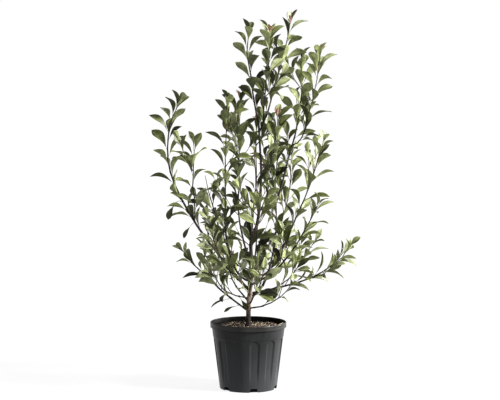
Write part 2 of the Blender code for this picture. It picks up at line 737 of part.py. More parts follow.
def make_limbs(paths, stems, space, material):
    """Every bough as a solid, and the stem of every mass as a path."""
    for limb in LIMBS:
        parent = paths[limb.parent]
        path = limb_path(limb, parent)
        paths[limb.name] = path
        if limb.bare > 0.0:
            bough = path.part(0.0, limb.bare)
            name = f"bough_{limb.name}"
            thing = add_object(name, *tube(bough, BOUGH_SIDES), material)
            if limb.at < 1.0:
                cut(thing, parent_cutter(limb, paths, material))
            space.add(name, *tube(bough, BOUGH_SIDES, LIMB_ROOM))
        if limb.bare < 1.0:
            start = limb.bare + (GAP / path.length if limb.bare > 0.0 else 0.0)
            stem = path.part(start, 1.0)
            space.add(limb.name, *tube(stem, BOUGH_SIDES, LIMB_ROOM))
            stems[limb.name] = stem


def make_mass(limb, stem, paths, space, material):
    """One mass of foliage, fused into one solid."""
    twigs, leaves = grow_mass(limb, stem, space)
    pieces = [tube(stem, STEM_SIDES)]
    pieces += [tube(twig, TWIG_SIDES) for twig in twigs]
    pieces += [leaf_solid(leaf) for leaf in leaves]
    mass = fuse(f"foliage_{limb.name}", pieces, material)
    if limb.bare == 0.0:
        cut(mass, parent_cutter(limb, paths, material))
    keep_main_body(mass)


def build():
    """The whole potted plant."""
    clear_scene()
    bark = make_material("bark", (0.085, 0.062, 0.050), 0.80)
    leafage = make_material("leafage", (0.105, 0.150, 0.055), 0.45)
    make_pot(make_material("pot_plastic", (0.028, 0.030, 0.032), 0.42))
    make_soil(make_material("soil_earth", (0.055, 0.036, 0.022), 0.95))
    paths = {"trunk": trunk_path()}
    make_trunk(paths["trunk"], bark)
    space = Space()
    space.add("trunk", *tube(paths["trunk"], BOUGH_SIDES, LIMB_ROOM))
    stems = {}
    make_limbs(paths, stems, space, bark)
    for limb in LIMBS:
        if limb.name in stems:
            make_mass(limb, stems[limb.name], paths, space, leafage)


if __name__ == "__main__":
    build()
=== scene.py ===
"""Looks of the potted red tip photinia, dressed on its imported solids.

The crown is grown again by the rule of the solids, and on to finer twigs: the same limbs,
twigs and leaf places, with the leaves' real outline and veins, their stalks and buds, bark
relief, crumbly potting soil and the moulded pot.
"""

import json
import math
import random
from collections import namedtuple

import bmesh
import bpy
import numpy as np
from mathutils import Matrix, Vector, noise
from mathutils.bvhtree import BVHTree

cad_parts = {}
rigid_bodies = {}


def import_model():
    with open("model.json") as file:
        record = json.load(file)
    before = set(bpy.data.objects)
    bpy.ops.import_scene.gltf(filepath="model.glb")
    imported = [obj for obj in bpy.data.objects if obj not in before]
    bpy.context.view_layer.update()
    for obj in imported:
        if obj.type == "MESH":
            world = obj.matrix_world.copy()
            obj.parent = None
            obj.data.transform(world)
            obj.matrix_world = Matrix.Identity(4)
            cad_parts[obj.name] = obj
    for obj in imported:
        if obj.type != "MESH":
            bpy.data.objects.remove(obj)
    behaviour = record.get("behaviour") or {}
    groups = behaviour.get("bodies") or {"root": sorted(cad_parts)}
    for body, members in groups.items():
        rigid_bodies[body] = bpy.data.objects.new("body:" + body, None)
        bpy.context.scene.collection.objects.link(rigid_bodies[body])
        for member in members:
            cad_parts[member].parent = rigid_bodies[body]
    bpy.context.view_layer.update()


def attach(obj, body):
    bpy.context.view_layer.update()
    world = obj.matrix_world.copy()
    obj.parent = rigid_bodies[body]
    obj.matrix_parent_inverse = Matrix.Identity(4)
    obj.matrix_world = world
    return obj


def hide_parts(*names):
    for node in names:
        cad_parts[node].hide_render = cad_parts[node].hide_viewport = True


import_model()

# Clear gap between two solids that touch on the real plant
GAP = 0.0003

# Pot
POT_HEIGHT = 0.244
POT_FOOT_RADIUS = 0.1035
POT_WALL_RADIUS = 0.1314
POT_WALL = 0.0024
POT_FLOOR = 0.0035
RIM_RADIUS = 0.140
RIM_HEIGHT = 0.0195
RIB_COUNT = 12
RIB_PROUD = 0.0022
RIB_FOOT = 0.012
RIB_TOP = 0.190
RIB_SHARE = 0.5
RIB_SHOULDER = 0.14
RIB_TURN = math.radians(-4.0)
NOTCH_COUNT = 6
NOTCH_TURN = math.radians(11.0)
NOTCH_WIDTH = 0.030
NOTCH_HEIGHT = 0.012
NOTCH_DEPTH = 0.009

# Soil
SOIL_TOP = 0.225

# Trunk: (height above the soil, lean to +X, lean to +Y) at each of its bends
TRUNK_BENDS = (
    (0.000, 0.000, 0.000),
    (0.070, 0.001, 0.002),
    (0.130, 0.006, 0.001),
    (0.240, 0.011, -0.004),
    (0.315, 0.010, -0.002),
    (0.375, 0.032, 0.002),
    (0.450, 0.041, 0.004),
    (0.555, 0.047, 0.002),
    (0.650, 0.043, -0.001),
    (0.737, 0.038, 0.000),
)
TRUNK_FOOT_RADIUS = 0.0092
TRUNK_TIP_RADIUS = 0.0036
TRUNK_TAPER = 1.25
TRUNK_PIECES = 24
ROOT_FLARE = 0.0042
FLARE_HEIGHT = 0.016
FLARE_LOBES = 3
FLARE_TURN = 0.7
FLARE_EVEN = 0.6

# Limbs. Each leaves its parent at a share of the parent's length and ends at its tip.
# Its bend is the share of the way out and of the way up that its control point has made.
# The first part, its bare share, is a bough. The rest is the stem of a mass of foliage.
Limb = namedtuple("Limb", "name parent at tip bend radius bare twigs seed")
LIMBS = (
    Limb("leader_left", "trunk", 1.00, (0.001, -0.030, 1.285), (1.35, 0.70), 0.0034, 0.12, 0, 29),
    Limb("leader_right", "trunk", 0.965, (0.152, 0.050, 1.325), (0.55, 0.35), 0.0034, 0.15, 3, 148),
    Limb("leader_middle", "leader_right", 0.08, (0.074, -0.060, 1.284), (1.0, 0.75), 0.0026, 0.0, 1, 105),
    Limb("right_tall", "trunk", 0.145, (0.102, 0.060, 0.675), (1.10, 0.10), 0.0056, 1.0, 0, 1),
    Limb("right_tall_top", "right_tall", 1.00, (0.198, 0.100, 1.195), (1.05, 0.55), 0.0040, 0.22, 3, 67),
    Limb("right_outer", "right_tall_top", 0.42, (0.262, 0.020, 1.215), (0.60, 0.00), 0.0024, 0.0, 1, 71),
    Limb("right_middle", "right_tall", 0.42, (0.265, -0.100, 0.892), (0.40, 0.15), 0.0038, 0.30, 3, 49),
    Limb("right_slant", "trunk", 0.205, (0.244, -0.200, 0.680), (0.55, 0.20), 0.0042, 0.28, 2, 65),
    Limb("right_low", "trunk", 0.165, (0.352, 0.040, 0.497), (0.80, 0.25), 0.0040, 0.24, 3, 131),
    Limb("right_fan", "right_low", 0.22, (0.232, -0.070, 0.535), (0.45, 0.15), 0.0024, 0.0, 2, 99),
    Limb("right_lowest", "trunk", 0.090, (0.150, -0.100, 0.383), (0.65, 0.15), 0.0030, 0.30, 1, 121),
    Limb("red_shoot", "right_tall", 0.76, (0.105, -0.020, 0.988), (0.20, 0.60), 0.0022, 0.0, 1, 99),
    Limb("left_sweep", "trunk", 0.175, (-0.258, 0.020, 1.030), (1.55, 0.65), 0.0050, 0.26, 2, 69),
    Limb("left_inner", "left_sweep", 0.42, (-0.193, -0.120, 0.893), (1.60, 0.60), 0.0026, 0.15, 1, 114),
    Limb("left_middle", "trunk", 0.225, (-0.072, -0.100, 1.034), (1.60, 0.05), 0.0044, 0.28, 4, 117),
    Limb("left_tall", "trunk", 0.330, (-0.030, 0.100, 1.055), (1.60, 0.10), 0.0040, 0.24, 4, 60),
    Limb("left_slim", "left_tall", 0.60, (-0.050, 0.000, 0.960), (0.60, 0.50), 0.0022, 0.0, 1, 78),
    Limb("left_low", "trunk", 0.075, (-0.232, -0.060, 0.505), (0.85, 0.70), 0.0036, 0.24, 4, 130),
    Limb("back_tall", "trunk", 0.400, (0.030, 0.200, 0.960), (0.90, 0.30), 0.0034, 0.28, 2, 30),
    Limb("back_left", "trunk", 0.250, (-0.165, 0.235, 0.770), (0.75, 0.30), 0.0036, 0.35, 3, 15),
    Limb("back_right", "trunk", 0.280, (0.170, 0.250, 0.790), (0.75, 0.30), 0.0036, 0.35, 3, 77),
    Limb("back_low_left", "trunk", 0.120, (-0.110, 0.270, 0.500), (0.70, 0.35), 0.0032, 0.35, 3, 137),
    Limb("back_low_right", "trunk", 0.205, (0.150, 0.290, 0.530), (0.70, 0.20), 0.0032, 0.35, 3, 120),
    Limb("front_left", "trunk", 0.190, (-0.125, -0.265, 0.600), (0.75, 0.30), 0.0034, 0.30, 3, 7),
    Limb("front_middle", "trunk", 0.300, (0.040, -0.250, 0.740), (0.80, 0.25), 0.0032, 0.25, 3, 129),
    Limb("front_low", "trunk", 0.110, (0.050, -0.270, 0.455), (0.70, 0.40), 0.0030, 0.30, 3, 20),
    Limb("low_left_curl", "trunk", 0.140, (-0.130, -0.130, 0.480), (1.00, 0.20), 0.0026, 0.20, 2, 103),
    Limb("low_right_curl", "trunk", 0.250, (0.125, -0.110, 0.560), (1.10, 0.10), 0.0026, 0.20, 3, 141),
    Limb("left_short", "trunk", 0.280, (-0.110, 0.040, 0.600), (1.00, 0.15), 0.0026, 0.15, 2, 29),
    Limb("inner_low", "trunk", 0.360, (0.010, -0.110, 0.640), (1.00, 0.20), 0.0022, 0.0, 2, 68),
    Limb("inner_left", "trunk", 0.500, (-0.040, -0.040, 0.790), (0.70, 0.30), 0.0022, 0.0, 1, 101),
    Limb("inner_back", "trunk", 0.560, (0.090, 0.110, 0.840), (0.70, 0.30), 0.0022, 0.0, 1, 155),
    Limb("inner_front", "trunk", 0.620, (0.020, -0.110, 0.880), (0.70, 0.30), 0.0022, 0.0, 1, 136),
    Limb("inner_right", "trunk", 0.780, (0.110, 0.030, 0.960), (0.70, 0.30), 0.0022, 0.0, 1, 145),
)
# A limb wanders off its curve by waves of these rates, the second one weaker
WANDER = 0.004
WANDER_RUN = 0.3
WAVES_ACROSS = (7.0, 17.0)
WAVES_AWAY = (8.0, 15.0)
SECOND_WAVE = 0.4
BOUGH_TAPER = 0.72
STEM_TIP_RADIUS = 0.0012
LIMB_STEP = 0.052
BOUGH_SIDES = 6
LIMB_ROOM = 0.0015

# Twigs of a mass
TWIG_RADIUS = 0.0015
TWIG_TIP_RADIUS = 0.0009
TWIG_LENGTH = (0.050, 0.110)
TWIG_SPREAD = (0.55, 0.95)
TWIG_RISE = 0.45
TWIG_STRETCH = (0.05, 0.85)
TWIG_ROOM = 0.003
TWIG_ROOM_FOR_LEAVES = 0.050
TWIG_SIDES = 3
TWIG_MARKS = (0.0, 0.5, 1.0)
TWIG_BARE = 0.25
TWIG_LEAVES = 3
TWIG_TRIES = 12
TWIG_CLEAR_OF_POT = 0.020
STEM_BARE = 0.04
STEM_BARE_AT_PARENT = 0.10

# Leaves. They stand closer, smaller and more upright towards a stem's tip.
LEAF_SPACING = 0.0240
LEAF_CROWDING = 1.25
LEAF_TURN = math.radians(137.5)
LEAF_TURN_PLAY = 0.25
LEAF_TURN_AGAIN = 0.45
LEAF_LENGTH = (0.080, 0.100)
LEAF_WIDTH = 0.38
LEAF_WIDTH_PLAY = 0.08
LEAF_WIDEST = 0.60
LEAF_KITE = 1.1
LEAF_SPREAD = (0.42, 0.85)
LEAF_OUTWARD = 0.12
LEAF_LIFT = 0.15
LEAF_LIFT_FROM_BELOW = 0.45
LEAF_FOLD = 0.10
LEAF_DROOP = (0.12, 0.34)
LEAF_ROLL = 0.85
LEAF_ROOM = 0.0006
LEAF_SINK = 0.0015
YOUNG_LEAVES = 4.0
YOUNG_SIZE = 0.66
YOUNG_SPREAD = 0.38
LEAF_CLEAR_OF_POT = 0.004
LEAF_TRIES = 7

# Each mass keeps within this reach of its stem
SPACE_RADIUS = 0.150
SPACE_MARKS = 30
ROOT_SHARE = 0.14
ROOT_SHARE_MAX = 0.5

CROWN_AXIS = Vector((0.02, 0.0, 0.0))
UP = Vector((0.0, 0.0, 1.0))

# Finer growth between the leaves and twigs of the solids
FILL_SPACING = 0.130
FILL_STRETCH = (0.03, 0.85)
FILL_SIZE = (0.78, 1.00)
FILL_SPREAD = (0.50, 1.00)
FILL_TRIES = 4
OPEN_SHARE = 0.60
SIDE_FROM = 0.12
SIDE_OVER = 0.16
SPUR_SPACING = 0.110
SPUR_STRETCH = (0.04, 0.80)
SPUR_LENGTH = (0.026, 0.055)
SPUR_RADIUS = 0.0012
SPUR_LEAVES = 2

# Leaves fallen from the shaded inside of the crown
MOST_BARE = 0.64
BARE_REACH = (0.06, 0.20)
BARE_HEIGHT = (0.55, 1.00)

# Places between the limbs where sky shows: middle across and up, half sizes, and the chance of no leaf
Opening = namedtuple("Opening", "across height wide tall chance")
OPENINGS = (
    Opening(0.040, 0.800, 0.026, 0.180, 0.55),
    Opening(-0.162, 0.765, 0.052, 0.052, 0.75),
    Opening(-0.052, 0.960, 0.036, 0.065, 0.40),
    Opening(-0.293, 0.923, 0.045, 0.030, 0.50),
)

# Leaves that hang from the end of a short bent twig: the twig's reach, the leaf's way down and its face
Hang = namedtuple("Hang", "limb at reach way face length")
HANGING = (
    Hang("left_sweep", 0.52, (-0.030, -0.006, 0.004), (-0.42, -0.05, -0.90), (-0.35, -0.85, 0.30), 0.070),
    Hang("left_sweep", 0.41, (-0.014, -0.008, -0.002), (-0.52, -0.10, -0.85), (-0.35, -0.85, 0.30), 0.060),
    Hang("low_left_curl", 0.18, (-0.004, 0.012, -0.002), (0.58, 0.05, -0.80), (-0.35, -0.85, 0.30), 0.058),
    Hang("left_low", 0.26, (-0.006, -0.004, -0.004), (-0.92, -0.10, -0.36), (-0.20, -0.22, 0.95), 0.072),
    Hang("left_low", 0.13, (-0.004, -0.006, -0.003), (-0.91, -0.15, -0.34), (-0.20, -0.25, 0.95), 0.058),
)

# The trunk's bark: heights over the soil between which its dark foot ends and the painted shade of the crown on its
# top begins
DARK_FOOT = (0.025, 0.070)
CROWN_SHADE_TOP = (0.100, 0.200)
TRUNK_TONES = (
    (0.24, (0.010, 0.008, 0.007)),
    (0.40, (0.044, 0.032, 0.026)),
    (0.50, (0.120, 0.086, 0.068)),
    (0.60, (0.235, 0.176, 0.138)),
    (0.72, (0.430, 0.370, 0.305)),
)

# Leaf blades: rows run out along the side veins, and columns run along the midrib
LEAF_ROWS = 16
LEAF_COLUMNS = (-1.0, -0.74, -0.42, -0.06, 0.06, 0.42, 0.74, 1.0)
BLADE_SHARE = (0.85, 0.98)
BLADE_FOLD = (0.50, 1.10)
BLADE_CURL = (0.02, 0.24)
EDGE_ON = (0.35, 0.65)
EDGE_TURN = (0.50, 0.62)
BROAD_FROM = 0.45
BROAD_OVER = 0.50
BROAD_RIGHT = 0.20
BLADE_FOOT = 0.04
BLADE_RISE = 1.42
BLADE_ROUND = 3.2
BLADE_TAPER = 1.15
BLADE_ARCH = 0.055
BLADE_HOOK = (0.0, 0.9)
POINTED_ROUND = 2.6
POINTED_TAPER = 1.35
TOP_GROWTH = 0.07
TOP_FROM = 0.80
TOP_OVER = 0.35
LOW_FROM = 0.45
LOW_OVER = 0.35
HOOK_START = 0.72
VEIN_SWEEP = 0.30
VEIN_DEPTH = 0.00022
MIDRIB_DEPTH = 0.00035
MIDRIB_BULGE = 0.0006
TOOTH = 0.016
BLADE_THICKNESS = 0.00018
STALK_SHARE = 0.19
STALK_RADIUS = 0.00085

# Relief of the pot's wall: its collar stands over the ribs, and its grooves are cut in
COLLAR_FOOT = 0.1905
NOTCH_GROWTH = 1.18
COLLAR_STEP = 0.0010
GROOVE_DEPTH = 0.0026
GROOVE_SHOULDER = 0.08
INNER_SETBACK = 0.0040
GROOVE_ARCH = 0.010
GROOVE_FOOT = (0.012, 0.085)
LEDGE_ROUNDING = 0.0012

# Tints of the leaves, from old and shaded to young: above, below and along the midrib. The deep and dark tints are
# partly painted shade, and the light and pale ones partly painted light falling on and through the leaves
LEAF_TINTS = {
    "deep": ((0.012, 0.014, 0.005), (0.043, 0.051, 0.024), (0.036, 0.041, 0.018)),
    "dark": ((0.028, 0.033, 0.011), (0.070, 0.083, 0.038), (0.066, 0.076, 0.031)),
    "olive": ((0.054, 0.064, 0.019), (0.107, 0.124, 0.054), (0.112, 0.127, 0.051)),
    "green": ((0.093, 0.108, 0.037), (0.151, 0.171, 0.077), (0.161, 0.178, 0.075)),
    "light": ((0.160, 0.180, 0.090), (0.228, 0.254, 0.116), (0.243, 0.259, 0.114)),
    "pale": ((0.250, 0.270, 0.190), (0.325, 0.345, 0.180), (0.345, 0.355, 0.180)),
    "bronze": ((0.040, 0.030, 0.019), (0.080, 0.062, 0.040), (0.095, 0.055, 0.038)),
    "red": ((0.270, 0.150, 0.100), (0.350, 0.225, 0.165), (0.370, 0.205, 0.145)),
}
TINT_STEPS = (("deep", 0.10), ("dark", 0.31), ("olive", 0.52), ("green", 0.71), ("light", 0.90), ("pale", 9.0))
RED_TIPS = ("leader_middle", "leader_right", "right_outer", "red_shoot", "left_tall", "back_tall")
BRONZE_TIP = "leader_right"
TIP_FROM = 0.97
# Painted shade: leaves whose faces turn along the sun's axis are dealt darker tints, to tone down the light on them:
# by how much, and from what share
SUN_AXIS_PAINTED_SHADE = 0.65
SUN_AXIS_SHADE_FROM = 0.35
# A leaf longer than this is full-grown, and no lighter than this
FULL_GROWN = 0.072
LIGHTEST_GROWN = 0.85
# The limb with the broadest leaves near its tip, where they start, and how much longer and wider they are
SWEEP_LIMB = "left_sweep"
SWEEP_FROM = 0.60
SWEEP_GROWTH = (1.08, 1.22)
TIP_SIZE = 0.72
TIP_WIDTH = 0.56
LIGHTEST_TIP = 0.80
YOUNG_WIDTH = 0.26


def ring_faces(rings, sides):
    """Faces of a skin over rings of points, closed by a flat face at each end."""
    faces = [tuple(range(sides))]
    for ring in range(rings - 1):
        for side in range(sides):
            after = (side + 1) % sides
            low = ring * sides
            high = low + sides
            faces.append((low + side, low + after, high + after, high + side))
    faces.append(tuple(range((rings - 1) * sides, rings * sides)))
    return faces


def steady_frame(tangent, reference):
    """Two directions square to the tangent, the first one nearest to the reference."""
    first = (reference - tangent * reference.dot(tangent)).normalized()
    return first, tangent.cross(first)


class Path:
    """A limb's centre line, with its radius, read by share of its length."""

    def __init__(self, points, radii, first_tangent=None, last_tangent=None):
        self.points = points
        self.radii = radii
        self.marks = [0.0]
        for before, after in zip(points, points[1:]):
            self.marks.append(self.marks[-1] + (after - before).length)
        self.length = self.marks[-1]
        self.first_tangent = first_tangent
        self.last_tangent = last_tangent
        chord = (points[-1] - points[0]).normalized()
        axes = (Vector((1.0, 0.0, 0.0)), Vector((0.0, 1.0, 0.0)), UP)
        self.reference = min(axes, key=lambda axis: abs(axis.dot(chord)))

    def locate(self, share):
        """Index of the piece that holds a share of the length, and the place in it."""
        distance = min(max(share, 0.0), 1.0) * self.length
        for index in range(len(self.marks) - 1):
            if distance <= self.marks[index + 1] or index == len(self.marks) - 2:
                span = self.marks[index + 1] - self.marks[index]
                return index, (distance - self.marks[index]) / span

    def point(self, share):
        """The place on the centre line."""
        index, place = self.locate(share)
        return self.points[index].lerp(self.points[index + 1], place)

    def radius(self, share):
        """The limb's radius there."""
        index, place = self.locate(share)
        return self.radii[index] * (1.0 - place) + self.radii[index + 1] * place

    def tangent(self, share):
        """The direction of growth there, read over half a piece to each side."""
        reach = 0.5 / (len(self.points) - 1)
        ahead = self.point(min(share + reach, 1.0))
        behind = self.point(max(share - reach, 0.0))
        return (ahead - behind).normalized()

    def part(self, start, end):
        """The stretch between two shares of the length, on the same points."""
        inner = [mark / self.length for mark in self.marks]
        shares = [start] + [share for share in inner if start + 0.01 < share < end - 0.01] + [end]
        points = [self.point(share) for share in shares]
        radii = [self.radius(share) for share in shares]
        before = self.first_tangent if start == 0.0 else self.tangent(start)
        after = self.last_tangent if end == 1.0 else self.tangent(end)
        path = Path(points, radii, before, after)
        path.reference = self.reference
        return path


def tube(path, sides, extra=0.0, reach=0.0):
    """Points and faces of a tapering tube along a path, grown by extra and by reach."""
    grow = 1.0 / math.cos(math.pi / sides) if extra else 1.0
    vertices = []
    last = len(path.points) - 1
    for index, centre in enumerate(path.points):
        share = path.marks[index] / path.length
        tangent = path.tangent(share)
        if index == 0:
            tangent = path.first_tangent or tangent
            centre = centre - tangent * reach
        elif index == last:
            tangent = path.last_tangent or tangent
            centre = centre + tangent * reach
        first, second = steady_frame(tangent, path.reference)
        radius = (path.radii[index] + extra) * grow
        for side in range(sides):
            angle = 2.0 * math.pi * side / sides
            vertices.append(centre + (first * math.cos(angle) + second * math.sin(angle)) * radius)
    return vertices, ring_faces(last + 1, sides)


def smooth_point(values, place):
    """Catmull-Rom curve through rows of values, read at a place from 0 to 1."""
    spans = len(values) - 1
    index = min(int(place * spans), spans - 1)
    local = place * spans - index
    rows = [values[min(max(index + shift, 0), spans)] for shift in (-1, 0, 1, 2)]
    result = []
    for before, start, end, after in zip(*rows):
        slope = end - before
        curve = 2.0 * before - 5.0 * start + 4.0 * end - after
        twist = 3.0 * start - before - 3.0 * end + after
        result.append(start + 0.5 * local * (slope + local * (curve + local * twist)))
    return result


def trunk_path():
    """The trunk from its flat cut on the soil to its fork."""
    count = TRUNK_PIECES
    top = TRUNK_BENDS[-1][0]
    points = []
    radii = []
    for index in range(count + 1):
        height, right, back = smooth_point(TRUNK_BENDS, index / count)
        points.append(Vector((right, back, SOIL_TOP + GAP + height)))
        spare = TRUNK_FOOT_RADIUS - TRUNK_TIP_RADIUS
        radii.append(TRUNK_TIP_RADIUS + spare * max(0.0, 1.0 - height / top) ** TRUNK_TAPER)
    return Path(points, radii, UP)


def limb_path(limb, parent):
    """A limb's smooth centre line, from its parent's axis or tip to its own tip."""
    rng = random.Random(f"path {limb.name}")
    from_tip = limb.at >= 1.0
    start = parent.point(limb.at)
    onward = parent.last_tangent or parent.tangent(1.0)
    if from_tip:
        start = start + onward * GAP
    run = Vector(limb.tip) - start
    control = start + Vector((run.x * limb.bend[0], run.y * limb.bend[0], run.z * limb.bend[1]))
    count = max(4, math.ceil(run.length / LIMB_STEP))
    phases = [rng.uniform(0.0, 2.0 * math.pi) for _ in range(4)]
    points = []
    radii = []
    for index in range(count + 1):
        share = index / count
        back = 1.0 - share
        point = start * back * back + control * 2.0 * share * back + Vector(limb.tip) * share * share
        wander = WANDER * math.sin(math.pi * share) * min(1.0, run.length / WANDER_RUN)
        point.x += wander * two_waves(share, WAVES_ACROSS, phases[:2])
        point.y += wander * two_waves(share, WAVES_AWAY, phases[2:])
        points.append(point)
        radii.append(STEM_TIP_RADIUS + (limb.radius - STEM_TIP_RADIUS) * (1.0 - share) ** BOUGH_TAPER)
    return Path(points, radii, onward if from_tip else None)


def two_waves(share, rates, phases):
    """A strong and a weak sine wave along a limb, added up."""
    first = math.sin(rates[0] * share + phases[0])
    second = math.sin(rates[1] * share + phases[1])
    return first + SECOND_WAVE * second


def solid_tree(vertices, faces):
    """A search tree over the faces of a solid."""
    return BVHTree.FromPolygons([tuple(vertex) for vertex in vertices], faces)


class Space:
    """Everything placed so far, for telling whether a new twig or leaf would touch it."""

    def __init__(self):
        self.items = []

    def add(self, owner, vertices, faces):
        """Keep a solid under its owner's name."""
        centre = sum(vertices, Vector()) / len(vertices)
        reach = max((vertex - centre).length for vertex in vertices)
        self.items.append((owner, centre, reach, solid_tree(vertices, faces)))

    def is_free(self, vertices, faces, skip=(), only=None):
        """Whether a solid touches none of those kept, or none of one owner's."""
        centre = sum(vertices, Vector()) / len(vertices)
        reach = max((vertex - centre).length for vertex in vertices)
        tree = solid_tree(vertices, faces)
        for owner, other, size, other_tree in self.items:
            if owner in skip or (only is not None and owner != only):
                continue
            if (other - centre).length < reach + size and tree.overlap(other_tree):
                return False
        return True


Leaf = namedtuple("Leaf", "root along face length width fold droop path share")


def leaf_point(leaf, share, across, lift):
    """A place on a leaf: share of its length, share of its half width, height over it."""
    side = leaf.along.cross(leaf.face)
    half = leaf.width * 0.5
    raised = lift + abs(across) * half * leaf.fold * 2.0 - leaf.droop * leaf.length * share * share
    return leaf.root + leaf.along * (share * leaf.length) + side * (across * half) + leaf.face * raised


def leaf_corners(leaf, start, room, lift):
    """The root, the tip and the widest corners of a leaf, with room all round them."""
    ends = room / leaf.length
    wide = LEAF_KITE + 2.0 * room / leaf.width
    places = ((start - ends, 0.0), (LEAF_WIDEST, -wide), (1.0 + ends, 0.0), (LEAF_WIDEST, wide))
    return [leaf_point(leaf, share, across, lift) for share, across in places]


def leaf_room(leaf, start=0.0):
    """Points and faces of the room that a leaf takes up, from a share of its length on."""
    vertices = leaf_corners(leaf, start, LEAF_ROOM, -LEAF_ROOM)
    vertices += leaf_corners(leaf, start, LEAF_ROOM, LEAF_ROOM)
    faces = [(0, 1, 2), (0, 2, 3), (4, 7, 5), (5, 7, 6)]
    faces += [(corner, (corner + 1) % 4, (corner + 1) % 4 + 4, corner + 4) for corner in range(4)]
    return vertices, faces


def leaf_fits(leaf, spread, name, stem_points, space):
    """Whether a leaf keeps to its mass's own space and touches nothing."""
    for share in (0.6, 1.0):
        place = leaf_point(leaf, share, 0.0, 0.0)
        if min((place - point).length for point in stem_points) > SPACE_RADIUS:
            return False
        if place.z < POT_HEIGHT + LEAF_CLEAR_OF_POT:
            return False
    clear = min(ROOT_SHARE_MAX, ROOT_SHARE / math.sin(spread))
    if not space.is_free(*leaf_room(leaf, clear), only=name):
        return False
    return space.is_free(*leaf_room(leaf), skip=(name,))


def grow_leaf(rng, path, share, turn, size, spread):
    """One leaf on a stem: it leaves at its spread and turns its face to the stem's tip."""
    tangent = path.tangent(share)
    first, second = steady_frame(tangent, path.reference)
    out = first * math.cos(turn) + second * math.sin(turn)
    along = tangent * math.cos(spread) + out * math.sin(spread)
    outward = (path.point(share) - CROWN_AXIS) * Vector((1.0, 1.0, 0.0))
    lift = LEAF_LIFT - LEAF_LIFT_FROM_BELOW * min(0.0, along.z)
    along += outward.normalized() * LEAF_OUTWARD + UP * lift
    along.normalize()
    face, side = steady_frame(along, tangent)
    roll = rng.triangular(-LEAF_ROLL, LEAF_ROLL)
    face = face * math.cos(roll) + side * math.sin(roll)
    length = rng.uniform(*LEAF_LENGTH) * size
    width = length * LEAF_WIDTH * rng.uniform(1.0 - LEAF_WIDTH_PLAY, 1.0 + LEAF_WIDTH_PLAY)
    droop = rng.uniform(*LEAF_DROOP)
    return Leaf(path.point(share), along, face, length, width, LEAF_FOLD, droop, path, share)


def grow_leaves(rng, name, path, start, stem_points, space):
    """Leaves set in a spiral along a stem, each one clear of the rest."""
    leaves = []
    count = max(3, round((1.0 - start) * path.length / LEAF_SPACING))
    turn = rng.uniform(0.0, 2.0 * math.pi)
    for index in range(count + 1):
        ahead = 1.0 - index / count
        share = 1.0 - (1.0 - start) * ahead ** LEAF_CROWDING - LEAF_SINK / path.length
        age = min(1.0, ahead * count / YOUNG_LEAVES)
        size = YOUNG_SIZE + (1.0 - YOUNG_SIZE) * age
        turn += LEAF_TURN
        for attempt in range(LEAF_TRIES):
            swing = turn + rng.uniform(-LEAF_TURN_PLAY, LEAF_TURN_PLAY) + LEAF_TURN_AGAIN * attempt
            spread = rng.uniform(*LEAF_SPREAD) * (YOUNG_SPREAD + (1.0 - YOUNG_SPREAD) * age)
            leaf = grow_leaf(rng, path, share, swing, size, spread)
            if leaf_fits(leaf, spread, name, stem_points, space):
                space.add(name, *leaf_room(leaf))
                leaves.append(leaf)
                break
    return leaves


def grow_twig(rng, path, share):
    """A short twig that leaves a stem and bends up."""
    tangent = path.tangent(share)
    first, second = steady_frame(tangent, path.reference)
    turn = rng.uniform(0.0, 2.0 * math.pi)
    spread = rng.uniform(*TWIG_SPREAD)
    out = first * math.cos(turn) + second * math.sin(turn)
    along = tangent * math.cos(spread) + out * math.sin(spread)
    length = rng.uniform(*TWIG_LENGTH)
    start = path.point(share)
    end = start + (along + UP * TWIG_RISE).normalized() * length
    middle = start + along * length * 0.5
    points = [start.lerp(middle, mark).lerp(middle.lerp(end, mark), mark) for mark in TWIG_MARKS]
    radii = [TWIG_RADIUS + (TWIG_TIP_RADIUS - TWIG_RADIUS) * mark for mark in TWIG_MARKS]
    return Path(points, radii)


def twig_fits(twig, name, stem_points, space):
    """Whether a twig stays over the pot and in its mass's own space, and touches nothing."""
    end = twig.points[-1]
    if end.z < POT_HEIGHT + TWIG_CLEAR_OF_POT:
        return False
    if min((end - point).length for point in stem_points) > SPACE_RADIUS - TWIG_ROOM_FOR_LEAVES:
        return False
    if not space.is_free(*tube(twig, TWIG_SIDES, TWIG_ROOM), skip=(name,)):
        return False
    return space.is_free(*tube(twig.part(ROOT_SHARE, 1.0), TWIG_SIDES, TWIG_ROOM), only=name)


def grow_twigs(rng, limb, stem, stem_points, space):
    """The twigs of one mass, spread along its stem."""
    twigs = []
    low, high = TWIG_STRETCH
    for index in range(limb.twigs):
        for _ in range(TWIG_TRIES):
            share = low + (high - low) * (index + rng.uniform(0.1, 0.9)) / limb.twigs
            twig = grow_twig(rng, stem, share)
            if twig_fits(twig, limb.name, stem_points, space):
                space.add(limb.name, *tube(twig, BOUGH_SIDES, LEAF_ROOM))
                twigs.append(twig)
                break
    return twigs


def grow_mass(limb, stem, space):
    """The leafy twigs of one mass, and all its leaves."""
    rng = random.Random(f"{limb.name} {limb.seed}")
    stem_points = [stem.point(index / SPACE_MARKS) for index in range(SPACE_MARKS + 1)]
    bare = STEM_BARE if limb.bare > 0.0 else STEM_BARE_AT_PARENT
    twigs = []
    buds = grow_twigs(rng, limb, stem, stem_points, space)
    leaves = grow_leaves(rng, limb.name, stem, bare, stem_points, space)
    for twig in buds:
        on_twig = grow_leaves(rng, limb.name, twig, TWIG_BARE, stem_points, space)
        if len(on_twig) >= TWIG_LEAVES:
            twigs.append(twig)
            leaves += on_twig
    return twigs, leaves


def wall_radius(height):
    """Outer radius of the pot's plain wall at a height."""
    share = height / (POT_HEIGHT - RIM_HEIGHT)
    return POT_FOOT_RADIUS + (POT_WALL_RADIUS - POT_FOOT_RADIUS) * share


